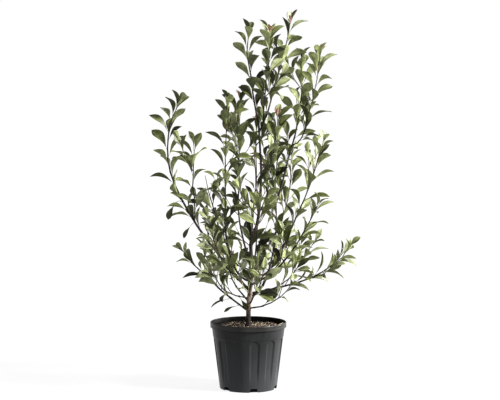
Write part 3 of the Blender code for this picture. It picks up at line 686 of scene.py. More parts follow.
def turned_mesh(rings, angles):
    """Points and faces turned round Z: a ring for each (radius, height), ends closed."""
    vertices = []
    for radius, height in rings:
        for angle in angles:
            vertices.append(Vector((radius * math.sin(angle), -radius * math.cos(angle), height)))
    return vertices, ring_faces(len(rings), len(angles))


def new_material(name, roughness, specular):
    """A node material with its Principled shader."""
    material = bpy.data.materials.new(name)
    material.use_nodes = True
    shader = material.node_tree.nodes["Principled BSDF"]
    shader.inputs["Roughness"].default_value = roughness
    shader.inputs["Specular IOR Level"].default_value = specular
    return material, material.node_tree, shader


def add_noise(tree, scale, detail, stretch):
    """Noise in the object's own space, stretched along its axes."""
    place = tree.nodes.new("ShaderNodeTexCoord")
    turn = tree.nodes.new("ShaderNodeMapping")
    grain = tree.nodes.new("ShaderNodeTexNoise")
    turn.inputs["Scale"].default_value = stretch
    grain.inputs["Scale"].default_value = scale
    grain.inputs["Detail"].default_value = detail
    tree.links.new(place.outputs["Object"], turn.inputs["Vector"])
    tree.links.new(turn.outputs["Vector"], grain.inputs["Vector"])
    return grain


def mottle(tree, shader, colours, scale, detail=4.0, stretch=(1.0, 1.0, 1.0), spread=0.4):
    """Base colour that wanders between colours."""
    grain = add_noise(tree, scale, detail, stretch)
    ramp = tree.nodes.new("ShaderNodeValToRGB")
    tree.links.new(grain.outputs["Fac"], ramp.inputs["Fac"])
    steps = ramp.color_ramp.elements
    while len(steps) < len(colours):
        steps.new(0.5)
    for index, colour in enumerate(colours):
        steps[index].position = 0.5 - 0.5 * spread + spread * index / (len(colours) - 1)
        steps[index].color = (*colour, 1.0)
    tree.links.new(ramp.outputs["Color"], shader.inputs["Base Color"])


def roughen(tree, shader, scale, strength, distance, detail=3.0, stretch=(1.0, 1.0, 1.0)):
    """Fine relief."""
    grain = add_noise(tree, scale, detail, stretch)
    bump = tree.nodes.new("ShaderNodeBump")
    bump.inputs["Strength"].default_value = strength
    bump.inputs["Distance"].default_value = distance
    tree.links.new(grain.outputs["Fac"], bump.inputs["Height"])
    tree.links.new(bump.outputs["Normal"], shader.inputs["Normal"])


def shade(colour, factor):
    """The same colour, lighter or darker."""
    return tuple(min(1.0, channel * factor) for channel in colour)


def leaf_material(name, colour, roughness, specular, coat):
    """Leaf skin: a slight mottle, a fine pebbled surface and, above, a waxy coat."""
    material, tree, shader = new_material(name, roughness, specular)
    mottle(tree, shader, (shade(colour, 0.62), colour, shade(colour, 1.38)), 60.0, 3.0)
    roughen(tree, shader, 1100.0, 0.22, 0.0004)
    shader.inputs["Coat Weight"].default_value = coat
    shader.inputs["Coat Roughness"].default_value = 0.30
    return material


def bark_material(name, colours, scale):
    """Bark with streaks along the limb and a rough grain."""
    material, tree, shader = new_material(name, 0.78, 0.10)
    mottle(tree, shader, colours, scale, 6.0, (1.0, 1.0, 0.25), 0.5)
    roughen(tree, shader, scale * 5.0, 0.55, 0.0007, 5.0, (1.0, 1.0, 0.4))
    return material


class Heap:
    """Points and faces gathered for one joined piece, with a material slot for each face."""

    def __init__(self):
        self.vertices = []
        self.faces = []
        self.slots = []

    def add(self, vertices, faces, slots=0):
        """Put in a shape, with one slot for all of it or one for each face."""
        first = len(self.vertices)
        self.vertices.extend(tuple(vertex) for vertex in vertices)
        self.faces.extend(tuple(first + corner for corner in face) for face in faces)
        self.slots.extend([slots] * len(faces) if isinstance(slots, int) else slots)

    def build(self, name, materials, slot, smooth=True):
        """Make the joined piece with its materials, riding on the plant's root body when a slot is given; the slot's
        name itself is not used.
        """
        mesh = bpy.data.meshes.new(name)
        mesh.from_pydata(self.vertices, [], self.faces)
        for material in materials:
            mesh.materials.append(material)
        mesh.polygons.foreach_set("material_index", self.slots)
        mesh.polygons.foreach_set("use_smooth", [smooth] * len(self.faces))
        mesh.update()
        piece = bpy.data.objects.new(name, mesh)
        bpy.context.scene.collection.objects.link(piece)
        if slot:
            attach(piece, "root")
        return piece


def grow_fill(rng, name, path, stem_points, space):
    """Smaller leaves on a stem or twig between those of the solids, where there is room."""
    leaves = []
    low, high = FILL_STRETCH
    count = max(1, round((high - low) * path.length / FILL_SPACING))
    for index in range(count):
        share = low + (high - low) * (index + rng.uniform(0.2, 0.8)) / count
        if rng.random() < OPEN_SHARE * openness(path.point(share)):
            continue
        for _ in range(FILL_TRIES):
            turn = rng.uniform(0.0, 2.0 * math.pi)
            spread = rng.uniform(*FILL_SPREAD)
            leaf = grow_leaf(rng, path, share, turn, rng.uniform(*FILL_SIZE), spread)
            if leaf_fits(leaf, spread, name, stem_points, space):
                space.add(name, *leaf_room(leaf))
                leaves.append(leaf)
                break
    return leaves


def openness(spot):
    """How open the crown is at a place: 1 high up and far to the sides, 0 in the middle."""
    high = ease((spot.z - TOP_FROM) / TOP_OVER)
    aside = ease((abs(spot.x) - SIDE_FROM) / SIDE_OVER)
    return max(high, aside)


def grow_spurs(rng, name, path, stem_points, space):
    """Short spurs on a stem, each with a few leaves of its own."""
    spurs = []
    leaves = []
    low, high = SPUR_STRETCH
    count = max(1, round((high - low) * path.length / SPUR_SPACING))
    for index in range(count):
        share = low + (high - low) * (index + rng.uniform(0.1, 0.9)) / count
        twig = grow_twig(rng, path, share)
        start = twig.points[0]
        length = rng.uniform(*SPUR_LENGTH)
        points = [start + (point - start) * (length / twig.length) for point in twig.points]
        spur = Path(points, [SPUR_RADIUS, SPUR_RADIUS * 0.85, SPUR_RADIUS * 0.7])
        if not twig_fits(spur, name, stem_points, space):
            continue
        before = len(space.items)
        space.add(name, *tube(spur, BOUGH_SIDES, LEAF_ROOM))
        on_spur = grow_leaves(rng, name, spur, TWIG_BARE, stem_points, space)
        if len(on_spur) < SPUR_LEAVES:
            del space.items[before:]
            continue
        spurs.append(spur)
        leaves += on_spur
    return spurs, leaves


def blade_width(place, rounding=BLADE_ROUND, taper=BLADE_TAPER):
    """Half width of a blade at its places, from a wedge foot to its point, 1 at its widest."""
    widest = (BLADE_RISE / (BLADE_RISE + taper * rounding)) ** (1.0 / rounding)
    most = widest ** BLADE_RISE * (1.0 - widest ** rounding) ** taper
    raw = place ** BLADE_RISE * np.clip(1.0 - place ** rounding, 0.0, 1.0) ** taper
    return BLADE_FOOT * (1.0 - place ** 2) + (1.0 - BLADE_FOOT) * raw / most


def spine(leaf, share, hook):
    """Height of the midrib over the leaf's line of departure, and its slope, at a share of the leaf."""
    beyond = np.clip(share - HOOK_START, 0.0, 1.0)
    height = 4.0 * BLADE_ARCH * share * (1.0 - share) - leaf.droop * share ** 2 - hook * beyond ** 2
    slope = 4.0 * BLADE_ARCH * (1.0 - 2.0 * share) - 2.0 * leaf.droop * share - 2.0 * hook * beyond
    return leaf.length * height, slope


def blade_grid():
    """Place along the blade and reach across it, for each row and column of its corners."""
    rows = np.linspace(0.0, 1.0, LEAF_ROWS + 1)[:, None]
    columns = np.array(LEAF_COLUMNS)[None, :]
    swept = rows + VEIN_SWEEP * np.abs(columns) * 1.6 * rows ** 0.7 * (1.0 - rows)
    round_width = blade_width(swept)
    pointed_width = blade_width(swept, POINTED_ROUND, POINTED_TAPER)
    odd = (np.arange(LEAF_ROWS + 1) % 2 * 2.0 - 1.0)[:, None]
    edge = (np.abs(columns) == 1.0) * (rows > 0.0) * (rows < 1.0)
    edge = columns * (1.0 + TOOTH * odd * edge)
    vein = odd * (1.0 - columns ** 4) * np.sin(math.pi * rows) * (np.abs(columns) > 0.1)
    return swept, edge * round_width, edge * pointed_width, vein


def blade_faces():
    """Faces and slots of a closed blade: skin above and below, margin, foot and tip."""
    columns = len(LEAF_COLUMNS)
    count = (LEAF_ROWS + 1) * columns
    faces = []
    slots = []
    for row in range(LEAF_ROWS):
        for column in range(columns - 1):
            corner = row * columns + column
            after = corner + columns
            middle = column == columns // 2 - 1
            faces.append((corner, corner + 1, after + 1, after))
            faces.append((count + corner, count + after, count + after + 1, count + corner + 1))
            slots += [2, 2] if middle else [0, 1]
        left = row * columns
        right = left + columns - 1
        faces.append((left, left + columns, count + left + columns, count + left))
        faces.append((right, count + right, count + right + columns, right + columns))
        slots += [0, 0]
    last = LEAF_ROWS * columns
    for column in range(columns - 1):
        faces.append((column, count + column, count + column + 1, column + 1))
        tip = last + column
        faces.append((tip, tip + 1, count + tip + 1, count + tip))
        slots += [1, 1]
    return faces, slots


BLADE_GRID = blade_grid()
BLADE_FACES = blade_faces()


def add_blade(heap, leaf, rng, fold_range=BLADE_FOLD):
    """A leaf blade: folded along its midrib, arched, twisted, with raised veins and fine teeth."""
    place, rounded, pointed, vein = BLADE_GRID
    point = rng.random()
    reach = rounded * (1.0 - point) + pointed * point
    rim = np.abs(np.array(LEAF_COLUMNS)[None, :]) * np.ones_like(place)
    fold = rng.uniform(*fold_range)
    curl = rng.uniform(*BLADE_CURL)
    hook = rng.uniform(*BLADE_HOOK)
    wave = rng.uniform(0.01, 0.05)
    phase = rng.uniform(0.0, 2.0 * math.pi)
    twist = rng.uniform(-0.5, 0.5)
    sway = rng.uniform(-0.05, 0.05)
    slim, broad = BLADE_SHARE
    breadth = ease((leaf.root.z - BROAD_FROM) / BROAD_OVER + max(0.0, leaf.root.x - BROAD_RIGHT) / BROAD_RIGHT)
    half = leaf.width * 0.5 * (slim + (broad - slim) * breadth)
    share = STALK_SHARE + (1.0 - STALK_SHARE) * place
    rise_of_rib, slope = spine(leaf, share, hook)
    steep = np.sqrt(1.0 + slope ** 2)
    turn = twist * (share - STALK_SHARE)
    ripple = wave * reach ** 2 * np.sin(phase + 9.0 * place + 1.5 * np.sign(reach))
    cup = fold * np.abs(reach) * (1.0 - 0.45 * place) - curl * reach ** 2
    lift = half * (cup + ripple) + VEIN_DEPTH * vein - MIDRIB_DEPTH * (np.abs(reach) < 0.09)
    out = reach * half
    bulge = MIDRIB_BULGE * (np.abs(reach) < 0.09) * (1.0 - place)
    skin = BLADE_THICKNESS * np.where(rim == 1.0, 0.35, 1.0)
    along = np.array(leaf.along)
    face = np.array(leaf.face)
    side = np.array(leaf.along.cross(leaf.face))
    root = np.array(leaf.root)
    layers = []
    for shift in (skin, -skin - bulge):
        rise = lift + shift
        sideways = out * np.cos(turn) - rise * np.sin(turn) + sway * leaf.length * place ** 2
        upward = out * np.sin(turn) + rise * np.cos(turn)
        ahead = leaf.length * share - upward * slope / steep
        height = upward / steep + rise_of_rib
        spots = (ahead[..., None] * along + sideways[..., None] * side + height[..., None] * face)
        layers.append((root + spots).reshape(-1, 3))
    heap.add(np.concatenate(layers).tolist(), *BLADE_FACES)


def turn_to_light(leaf):
    """The leaf with its face turned a little, if it would show only its edge from the front."""
    side = leaf.along.cross(leaf.face)
    high = ease((leaf.root.z - TOP_FROM) / TOP_OVER)
    edge_on, most = (low + (top - low) * high for low, top in (EDGE_ON, EDGE_TURN))
    turn = most * max(0.0, 1.0 - abs(leaf.face.y) / edge_on)
    turn = math.copysign(turn, leaf.face.y * side.y)
    return leaf._replace(face=leaf.face * math.cos(turn) + side * math.sin(turn))


def add_stalk(heap, leaf):
    """The leaf's stalk, a slim tube from the stem to the foot of the midrib."""
    points = []
    for index in range(6):
        share = index / 5.0 * (STALK_SHARE + 0.03)
        height, _ = spine(leaf, share, 0.0)
        points.append(leaf.root + leaf.along * (leaf.length * share) + leaf.face * float(height))
    radii = [STALK_RADIUS * factor for factor in (1.9, 1.25, 1.0, 0.95, 0.9, 0.6)]
    heap.add(*tube(Path(points, radii), 6))


def add_bud(heap, leaf, rng):
    """A small pointed bud in the angle over a leaf's stalk."""
    tangent = leaf.path.tangent(leaf.share)
    out = (leaf.along - tangent * leaf.along.dot(tangent)).normalized()
    foot = leaf.root + out * (leaf.path.radius(leaf.share) * 0.7) + tangent * 0.0018
    way = (tangent + out * 0.75).normalized()
    length = rng.uniform(0.0022, 0.0040)
    points = [foot + way * (length * share) for share in (0.0, 0.35, 0.7, 1.0)]
    radii = [length * factor for factor in (0.24, 0.30, 0.20, 0.03)]
    heap.add(*tube(Path(points, radii), 6))


def add_young_tip(heap, path, rng, lengths=(0.018, 0.030)):
    """Two or three small unfolding leaves at a shoot's tip."""
    tangent = path.last_tangent or path.tangent(1.0)
    first, second = steady_frame(tangent, path.reference)
    turn = rng.uniform(0.0, 2.0 * math.pi)
    for _ in range(rng.choice((2, 3))):
        turn += LEAF_TURN
        out = first * math.cos(turn) + second * math.sin(turn)
        spread = rng.uniform(0.15, 0.50)
        along = (tangent * math.cos(spread) + out * math.sin(spread)).normalized()
        face, _ = steady_frame(along, tangent)
        length = rng.uniform(*lengths)
        leaf = Leaf(path.point(1.0), along, face, length, length * YOUNG_WIDTH, 0.1, 0.15, path, 1.0)
        add_blade(heap, leaf, rng, (0.5, 0.9))


def add_hanging(heaps, paths, rng):
    """The few leaves that hang: each has a bent twig, a stalk and a blade."""
    wood, stalks, blades = heaps
    for hang in HANGING:
        path = paths[hang.limb]
        foot = path.point(hang.at)
        reach = Vector(hang.reach)
        end = foot + reach
        bend = foot + reach * 0.55 + UP * (0.25 * reach.length)
        twig = Path([foot, foot + (bend - foot) * 0.5 + UP * 0.001, bend, end], [0.0012, 0.0011, 0.0010, 0.0009])
        wood.add(*tube(twig, 6))
        along = Vector(hang.way).normalized()
        face, _ = steady_frame(along, Vector(hang.face))
        leaf = Leaf(end, along, face, hang.length, hang.length * LEAF_WIDTH, LEAF_FOLD, 0.06, twig, 1.0)
        add_blade(blades, leaf, rng)
        add_stalk(stalks, leaf)


def leaf_tint(rng, leaf):
    """The tint of a leaf: painted light makes it lighter to the right, outside and high up, and painted shade darker
    inside the crown and where its face turns along the sun's axis; it is also lighter low down and near a stem's tip.
    """
    outside = Vector((leaf.root.x, leaf.root.y)).length
    # Painted light: tints are lighter to the right, where the key light falls, further out and higher up; painted
    # shade: darker towards the inside of the crown
    across = leaf.root.x * (0.80 if leaf.root.x > 0.0 else 0.05)
    high = ease((leaf.root.z - TOP_FROM) / TOP_OVER)
    low = 1.0 - ease((leaf.root.z - LOW_FROM) / LOW_OVER)
    light = 0.355 + across * (1.0 + 0.5 * high) + 0.80 * outside + 0.10 * high + 0.10 * low
    light += 0.12 * leaf.share + rng.gauss(0.0, 0.31)
    # Painted shade on leaves whose faces turn along the sun's axis
    light -= SUN_AXIS_PAINTED_SHADE * max(0.0, abs(leaf.face.x) - SUN_AXIS_SHADE_FROM)
    if leaf.share > TIP_FROM:
        light = min(light, LIGHTEST_TIP)
    if leaf.length > FULL_GROWN:
        light = min(light, LIGHTEST_GROWN)
    for tint, most in TINT_STEPS:
        if light < most:
            return tint
    return TINT_STEPS[-1][0]


def dress_limb(path, sides, step, relief, grain, nodes=(), swell=0.0, foot=0.0):
    """Points and faces of a limb's bark: furrows, pits, swollen nodes and a flared foot."""
    count = max(4, math.ceil(path.length / step))
    vertices = []
    for index in range(count + 1):
        share = index / count
        tangent = path.first_tangent if index == 0 and path.first_tangent else path.tangent(share)
        first, second = steady_frame(tangent, path.reference)
        centre = path.point(share)
        radius = path.radius(share) * (1.0 + foot * math.exp(-share * path.length / 0.004))
        for node in nodes:
            apart = (share - node) * path.length / 0.0024
            radius += swell * math.exp(-apart * apart)
        for side in range(sides):
            angle = 2.0 * math.pi * side / sides
            out = first * math.cos(angle) + second * math.sin(angle)
            spot = centre + out * radius
            furrow = noise.noise(Vector((spot.x * grain, spot.y * grain, spot.z * grain * 0.2)))
            pit = noise.noise(spot * grain * 0.6)
            vertices.append(centre + out * (radius * (1.0 + relief * (0.7 * furrow + 0.5 * pit))))
    return vertices, ring_faces(count + 1, sides)


def band_slots(path, sides, step, ends):
    """A slot for each face of a dressed limb, by its distance from the limb's tip."""
    count = max(4, math.ceil(path.length / step))
    slots = [0]
    for index in range(count):
        left = (1.0 - (index + 0.5) / count) * path.length
        slots += [sum(left < end for end in ends)] * sides
    return slots + [len(ends)]


def grow_crown():
    """Paths of the limbs, boughs and stems, and for each mass its twigs and leaves."""
    paths = {"trunk": trunk_path()}
    space = Space()
    space.add("trunk", *tube(paths["trunk"], BOUGH_SIDES, LIMB_ROOM))
    boughs = {}
    stems = {}
    for limb in LIMBS:
        path = limb_path(limb, paths[limb.parent])
        paths[limb.name] = path
        if limb.bare > 0.0:
            bough = path.part(0.0, limb.bare)
            boughs[limb.name] = bough
            space.add(f"bough_{limb.name}", *tube(bough, BOUGH_SIDES, LIMB_ROOM))
        if limb.bare < 1.0:
            start = limb.bare + (GAP / path.length if limb.bare > 0.0 else 0.0)
            stem = path.part(start, 1.0)
            space.add(limb.name, *tube(stem, BOUGH_SIDES, LIMB_ROOM))
            stems[limb.name] = stem
    grown = {}
    for limb in LIMBS:
        if limb.name in stems:
            grown[limb.name] = grow_mass(limb, stems[limb.name], space)
    grow_finer(stems, grown, space)
    return paths, boughs, stems, grown


def grow_finer(stems, grown, space):
    """Carry every mass on to finer twigs and smaller leaves, within its own space."""
    for name, (twigs, leaves) in grown.items():
        rng = random.Random(f"finer {name}")
        stem = stems[name]
        stem_points = [stem.point(index / SPACE_MARKS) for index in range(SPACE_MARKS + 1)]
        leaves[:] = [leaf for leaf in leaves if rng.random() > bareness(leaf)]
        spurs, on_spurs = grow_spurs(rng, name, stem, stem_points, space)
        leaves += on_spurs
        for path in [stem] + twigs:
            leaves += grow_fill(rng, name, path, stem_points, space)
        twigs += spurs
        sky = random.Random(f"sky {name}")
        leaves[:] = [leaf for leaf in leaves if sky.random() > sky_chance(leaf)]


def bareness(leaf):
    """Chance that a leaf has fallen: greatest low down and close to the trunk."""
    reach = (leaf.root - CROWN_AXIS) * Vector((1.0, 1.0, 0.0))
    inside = 1.0 - ease((reach.length - BARE_REACH[0]) / (BARE_REACH[1] - BARE_REACH[0]))
    low = 1.0 - ease((leaf.root.z - BARE_HEIGHT[0]) / (BARE_HEIGHT[1] - BARE_HEIGHT[0]))
    return MOST_BARE * inside * low


def sky_chance(leaf):
    """Chance that sky shows in a leaf's place."""
    middle = leaf.root + leaf.along * (0.6 * leaf.length)
    chance = 0.0
    for spot in OPENINGS:
        apart = ((middle.x - spot.across) / spot.wide) ** 2 + ((middle.z - spot.height) / spot.tall) ** 2
        if apart < 1.0:
            chance = max(chance, spot.chance)
    return chance


def dress_trunk(path, boughs):
    """The trunk's bark, with a knot under every bough that leaves it."""
    vertices, faces = dress_limb(path, 36, 0.0022, 0.10, 300.0, foot=0.0)
    knots = []
    for name, bough in boughs.items():
        foot = path.points[0] if name == "leader_left" else bough.points[0]
        way = bough.tangent(0.3)
        knots.append((foot + way * 0.006, min(bough.radii[0] * 0.5, 0.0022)))
    sides = 36
    for index, vertex in enumerate(vertices):
        share = (index // sides) / (len(vertices) // sides - 1)
        centre = path.point(share)
        outward = (vertex - centre).normalized()
        height = vertex.z - SOIL_TOP
        angle = 2.0 * math.pi * (index % sides) / sides
        lobes = FLARE_EVEN + (1.0 - FLARE_EVEN) * math.cos(FLARE_LOBES * angle + FLARE_TURN)
        vertex += outward * (ROOT_FLARE * lobes * math.exp(-height / FLARE_HEIGHT))
        for knot, size in knots:
            apart = (vertex - knot).length / 0.008
            if apart < 3.0:
                vertex += outward * (size * math.exp(-apart * apart))
    heap = Heap()
    heap.add(vertices, faces)
    piece = heap.build("trunk_bark", [trunk_material()], "bark")
    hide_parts("trunk")


def trunk_material():
    """The trunk's bark: warm brown with pale and dark patches, a dark foot, a lighter band of painted light above it,
    and painted shade towards its top under the crown.
    """
    material, tree, shader = new_material("bark_trunk", 0.80, 0.10)
    patches = add_noise(tree, 120.0, 4.0, (1.0, 1.0, 0.24))
    place = tree.nodes.new("ShaderNodeTexCoord")
    split = tree.nodes.new("ShaderNodeSeparateXYZ")
    tree.links.new(place.outputs["Object"], split.inputs["Vector"])
    level = patches.outputs["Fac"]
    # By height: darker at the foot, lighter from 70 mm up as painted light on the trunk, and darker towards the top as
    # painted shade of the crown
    fades = (
        (SOIL_TOP + DARK_FOOT[0], SOIL_TOP + DARK_FOOT[1], -0.24, 0.11),
        (SOIL_TOP + CROWN_SHADE_TOP[0], SOIL_TOP + CROWN_SHADE_TOP[1], 0.0, -0.30),
    )
    for low, high, first, last in fades:
        fade = tree.nodes.new("ShaderNodeMapRange")
        for socket, value in (("From Min", low), ("From Max", high), ("To Min", first), ("To Max", last)):
            fade.inputs[socket].default_value = value
        total = tree.nodes.new("ShaderNodeMath")
        tree.links.new(split.outputs["Z"], fade.inputs["Value"])
        tree.links.new(level, total.inputs[0])
        tree.links.new(fade.outputs["Result"], total.inputs[1])
        level = total.outputs["Value"]
    ramp = tree.nodes.new("ShaderNodeValToRGB")
    steps = ramp.color_ramp.elements
    while len(steps) < len(TRUNK_TONES):
        steps.new(0.5)
    for step, (position, colour) in zip(steps, TRUNK_TONES):
        step.position = position
        step.color = (*colour, 1.0)
    tree.links.new(level, ramp.inputs["Fac"])
    tree.links.new(ramp.outputs["Color"], shader.inputs["Base Color"])
    roughen(tree, shader, 560.0, 0.55, 0.0007, 5.0, (1.0, 1.0, 0.4))
    return material


def dress_crown():
    """Bark on every limb, and the leaves with their stalks and buds."""
    paths, boughs, stems, grown = grow_crown()
    dress_trunk(paths["trunk"], boughs)
    wood = ((0.009, 0.007, 0.007), (0.020, 0.015, 0.015), (0.050, 0.038, 0.034))
    bough_heap = Heap()
    for path in boughs.values():
        nodes = [index * 0.024 / path.length for index in range(1, int(path.length / 0.024))]
        bough_heap.add(*dress_limb(path, 16, 0.0035, 0.09, 420.0, nodes, 0.0005, 0.25))
    twig_heap = Heap()
    stalk_heap = Heap()
    blades = {tint: Heap() for tint in LEAF_TINTS}
    ends = (0.110, 0.055, 0.020)
    total = 0
    add_hanging((bough_heap, stalk_heap, blades["dark"]), paths, random.Random("hanging"))
    for name, (twigs, leaves) in grown.items():
        rng = random.Random(f"looks {name}")
        total += len(leaves)
        for path in [stems[name]] + twigs:
            nodes = [leaf.share for leaf in leaves if leaf.path is path]
            sides, step = (12, 0.0045) if path is stems[name] else (8, 0.005)
            shape = dress_limb(path, sides, step, 0.07, 420.0, nodes, 0.0003, 0.5)
            twig_heap.add(*shape, band_slots(path, sides, step, ends))
        if name in RED_TIPS:
            add_young_tip(blades["red"], stems[name], rng, (0.034, 0.046))
        for path in twigs:
            if rng.random() < 0.06:
                add_young_tip(blades["red"], path, rng)
        for leaf in leaves:
            tint = leaf_tint(rng, leaf)
            growth = 1.0 + TOP_GROWTH * ease((leaf.root.z - TOP_FROM) / TOP_OVER)
            leaf = leaf._replace(length=leaf.length * growth, width=leaf.width * growth)
            if name in RED_TIPS and leaf.path is stems[name] and leaf.share > TIP_FROM:
                tint = "bronze" if name == BRONZE_TIP else "red"
                size = 1.0 if name == BRONZE_TIP else TIP_SIZE
                leaf = leaf._replace(length=leaf.length * size, width=leaf.width * TIP_WIDTH)
            if name == SWEEP_LIMB and leaf.path is stems[name] and leaf.share > SWEEP_FROM:
                leaf = leaf._replace(length=leaf.length * SWEEP_GROWTH[0], width=leaf.width * SWEEP_GROWTH[1])
            leaf = turn_to_light(leaf)
            add_blade(blades[tint], leaf, rng)
            add_stalk(stalk_heap, leaf)
            if rng.random() < 0.7:
                add_bud(stalk_heap, leaf, rng)
    bough_piece = bough_heap.build("bough_bark", [bark_material("bark_bough", wood, 150.0)], "bark")
    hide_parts(*[f"bough_{name}" for name in boughs])
    print("leaves", total, {tint: len(heap.faces) * 2 for tint, heap in blades.items()},
          "twigs", len(twig_heap.faces) * 2, "stalks", len(stalk_heap.faces) * 2)
    shoots = (
        wood,
        ((0.012, 0.008, 0.008), (0.028, 0.018, 0.017), (0.060, 0.042, 0.036)),
        ((0.018, 0.010, 0.009), (0.045, 0.027, 0.021), (0.085, 0.058, 0.042)),
        ((0.040, 0.020, 0.014), (0.090, 0.055, 0.030), (0.150, 0.110, 0.060)),
    )
    materials = [bark_material(f"bark_shoot_{index}", tones, 170.0) for index, tones in enumerate(shoots)]
    twig_piece = twig_heap.build("twigs", materials, "bark")
    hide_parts(*[f"foliage_{name}" for name in grown])
    stalk_heap.build("leaf_stalks", [leaf_material("leaf_stalk", (0.105, 0.090, 0.040), 0.5, 0.2, 0.0)], "leafage")
    for tint, heap in blades.items():
        above, below, rib = LEAF_TINTS[tint]
        materials = [
            leaf_material(f"leaf_{tint}_above", above, 0.38, 0.20, 0.06),
            leaf_material(f"leaf_{tint}_below", below, 0.62, 0.06, 0.0),
            leaf_material(f"leaf_{tint}_midrib", rib, 0.50, 0.10, 0.0),
        ]
        heap.build(f"leaves_{tint}", materials, "leafage")


def ease(value):
    """A smooth step from 0 to 1."""
    value = min(1.0, max(0.0, value))
    return value * value * (3.0 - 2.0 * value)


def soft_rib(angle, height):
    """How far the wall stands proud: everywhere but in the grooves, whose tops are arched."""
    pitch = 2.0 * math.pi / RIB_COUNT
    offset = abs((angle - RIB_TURN) % pitch - 0.5 * pitch) / pitch
    across = ease((0.5 * (1.0 - RIB_SHARE) + 0.5 * GROOVE_SHOULDER - offset) / GROOVE_SHOULDER)
    arch = COLLAR_FOOT - 0.0010 - GROOVE_ARCH * (2.0 * offset / (1.0 - RIB_SHARE)) ** 2
    below = ease((arch - height) / 0.0035)
    foot = ease((height - GROOVE_FOOT[0]) / (GROOVE_FOOT[1] - GROOVE_FOOT[0]))
    collar = ease((height - COLLAR_FOOT) / LEDGE_ROUNDING + 0.5)
    groove = (RIB_PROUD - COLLAR_STEP + GROOVE_DEPTH) * across * below * foot
    return RIB_PROUD - COLLAR_STEP * (1.0 - collar) - groove


def pot_profile():
    """Radius and height round the pot's section: up its wall, over the rim and down inside."""
    rim_foot = POT_HEIGHT - RIM_HEIGHT
    rings = [(POT_FOOT_RADIUS - 0.0020, 0.0), (wall_radius(0.0006) - 0.0006, 0.0006), (wall_radius(0.002), 0.002)]
    heights = [0.002 + 0.002 * step for step in range(1, 9)]
    heights += [0.018 + (COLLAR_FOOT - 0.016 - 0.018) * step / 40 for step in range(1, 41)]
    heights += [COLLAR_FOOT - 0.016 + 0.001 * step for step in range(1, 15)]
    heights += [COLLAR_FOOT + LEDGE_ROUNDING * step for step in (-0.5, -0.3, -0.1, 0.1, 0.3, 0.5)]
    heights += [COLLAR_FOOT + (rim_foot - 0.0022 - COLLAR_FOOT) * step / 8 for step in range(1, 9)]
    rings += [(wall_radius(height), height) for height in heights]
    proud = POT_WALL_RADIUS + RIB_PROUD
    rings += [(proud - 0.0012, rim_foot - 0.0010), (proud - 0.0008, rim_foot - 0.0002)]
    rings += [(RIM_RADIUS - 0.0028, rim_foot)]
    rings += [(RIM_RADIUS - 0.0012, rim_foot + 0.0003), (RIM_RADIUS - 0.0006, rim_foot + 0.0012)]
    rings += [(RIM_RADIUS - 0.0005, rim_foot + 0.0040), (RIM_RADIUS - 0.0008, POT_HEIGHT - 0.0060)]
    rings += [(RIM_RADIUS - 0.0003, POT_HEIGHT - 0.0050), (RIM_RADIUS, POT_HEIGHT - 0.0032)]
    rings += [(RIM_RADIUS - 0.0003, POT_HEIGHT - 0.0013), (RIM_RADIUS - 0.0012, POT_HEIGHT - 0.0002)]
    rings += [(RIM_RADIUS - 0.0024, POT_HEIGHT), (RIM_RADIUS - 0.0036, POT_HEIGHT - 0.0005)]
    lined = len(rings)
    rings += [(RIM_RADIUS - 0.0043, POT_HEIGHT - 0.0018), (RIM_RADIUS - 0.0046, rim_foot + 0.0060)]
    rings += [(RIM_RADIUS - 0.0054, rim_foot + 0.0034), (RIM_RADIUS - 0.0072, rim_foot + 0.0020)]
    rings += [(POT_WALL_RADIUS - POT_WALL, rim_foot), (wall_radius(0.205) - POT_WALL, 0.205)]
    rings += [(wall_radius(0.195) - INNER_SETBACK, 0.195), (wall_radius(POT_FLOOR) - INNER_SETBACK, POT_FLOOR)]
    return rings, len(heights) + 3, len(heights) + 5, lined


def dress_pot():
    """The pot: a moulded wall with soft ribs and arched grooves, a rolled rim, a notched foot."""
    rings, ribbed, rimmed, lined = pot_profile()
    count = 360
    angles = [2.0 * math.pi * index / count for index in range(count)]
    vertices, faces = turned_mesh(rings, angles)
    for index, vertex in enumerate(vertices[:ribbed * count]):
        angle = angles[index % count]
        lift = soft_rib(angle, vertex.z)
        vertex.x += lift * math.sin(angle)
        vertex.y -= lift * math.cos(angle)
    heap = Heap()
    heap.add(vertices, faces)
    heap.slots = [(min(face) >= rimmed * count) + (min(face) >= lined * count) for face in faces]
    # The rim's plastic is a lighter copy of the wall's, painted light; the inside's is a darker copy, painted shade
    materials = [
        pot_material("pot_plastic_wall", 0.36, ((0.0050, 0.0052, 0.0053), (0.0092, 0.0095, 0.0098), (0.0165, 0.0172, 0.0178)), 0.13),
        pot_material("pot_plastic_rim", 0.36, ((0.0070, 0.0070, 0.0067), (0.0140, 0.0140, 0.0134), (0.0260, 0.0255, 0.0240)), 0.13),
        pot_material("pot_plastic_inner", 0.55, ((0.0024, 0.0024, 0.0024), (0.0050, 0.0050, 0.0050), (0.0160, 0.0160, 0.0155)), 0.14),
    ]
    materials[-1].node_tree.nodes["Principled BSDF"].inputs["IOR"].default_value = 1.2
    pot = heap.build("pot_shell", materials, "pot_plastic")
    cutter = notch_blocks()
    modifier = pot.modifiers.new("notches", "BOOLEAN")
    modifier.operation = "DIFFERENCE"
    modifier.solver = "EXACT"
    modifier.object = cutter
    depsgraph = bpy.context.evaluated_depsgraph_get()
    cut_mesh = bpy.data.meshes.new_from_object(pot.evaluated_get(depsgraph))
    pot.modifiers.clear()
    pot.data = cut_mesh
    bpy.data.objects.remove(cutter)
    pot.data.shade_smooth()
    pot.data.set_sharp_from_angle(angle=math.radians(32.0))
    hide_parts("pot")


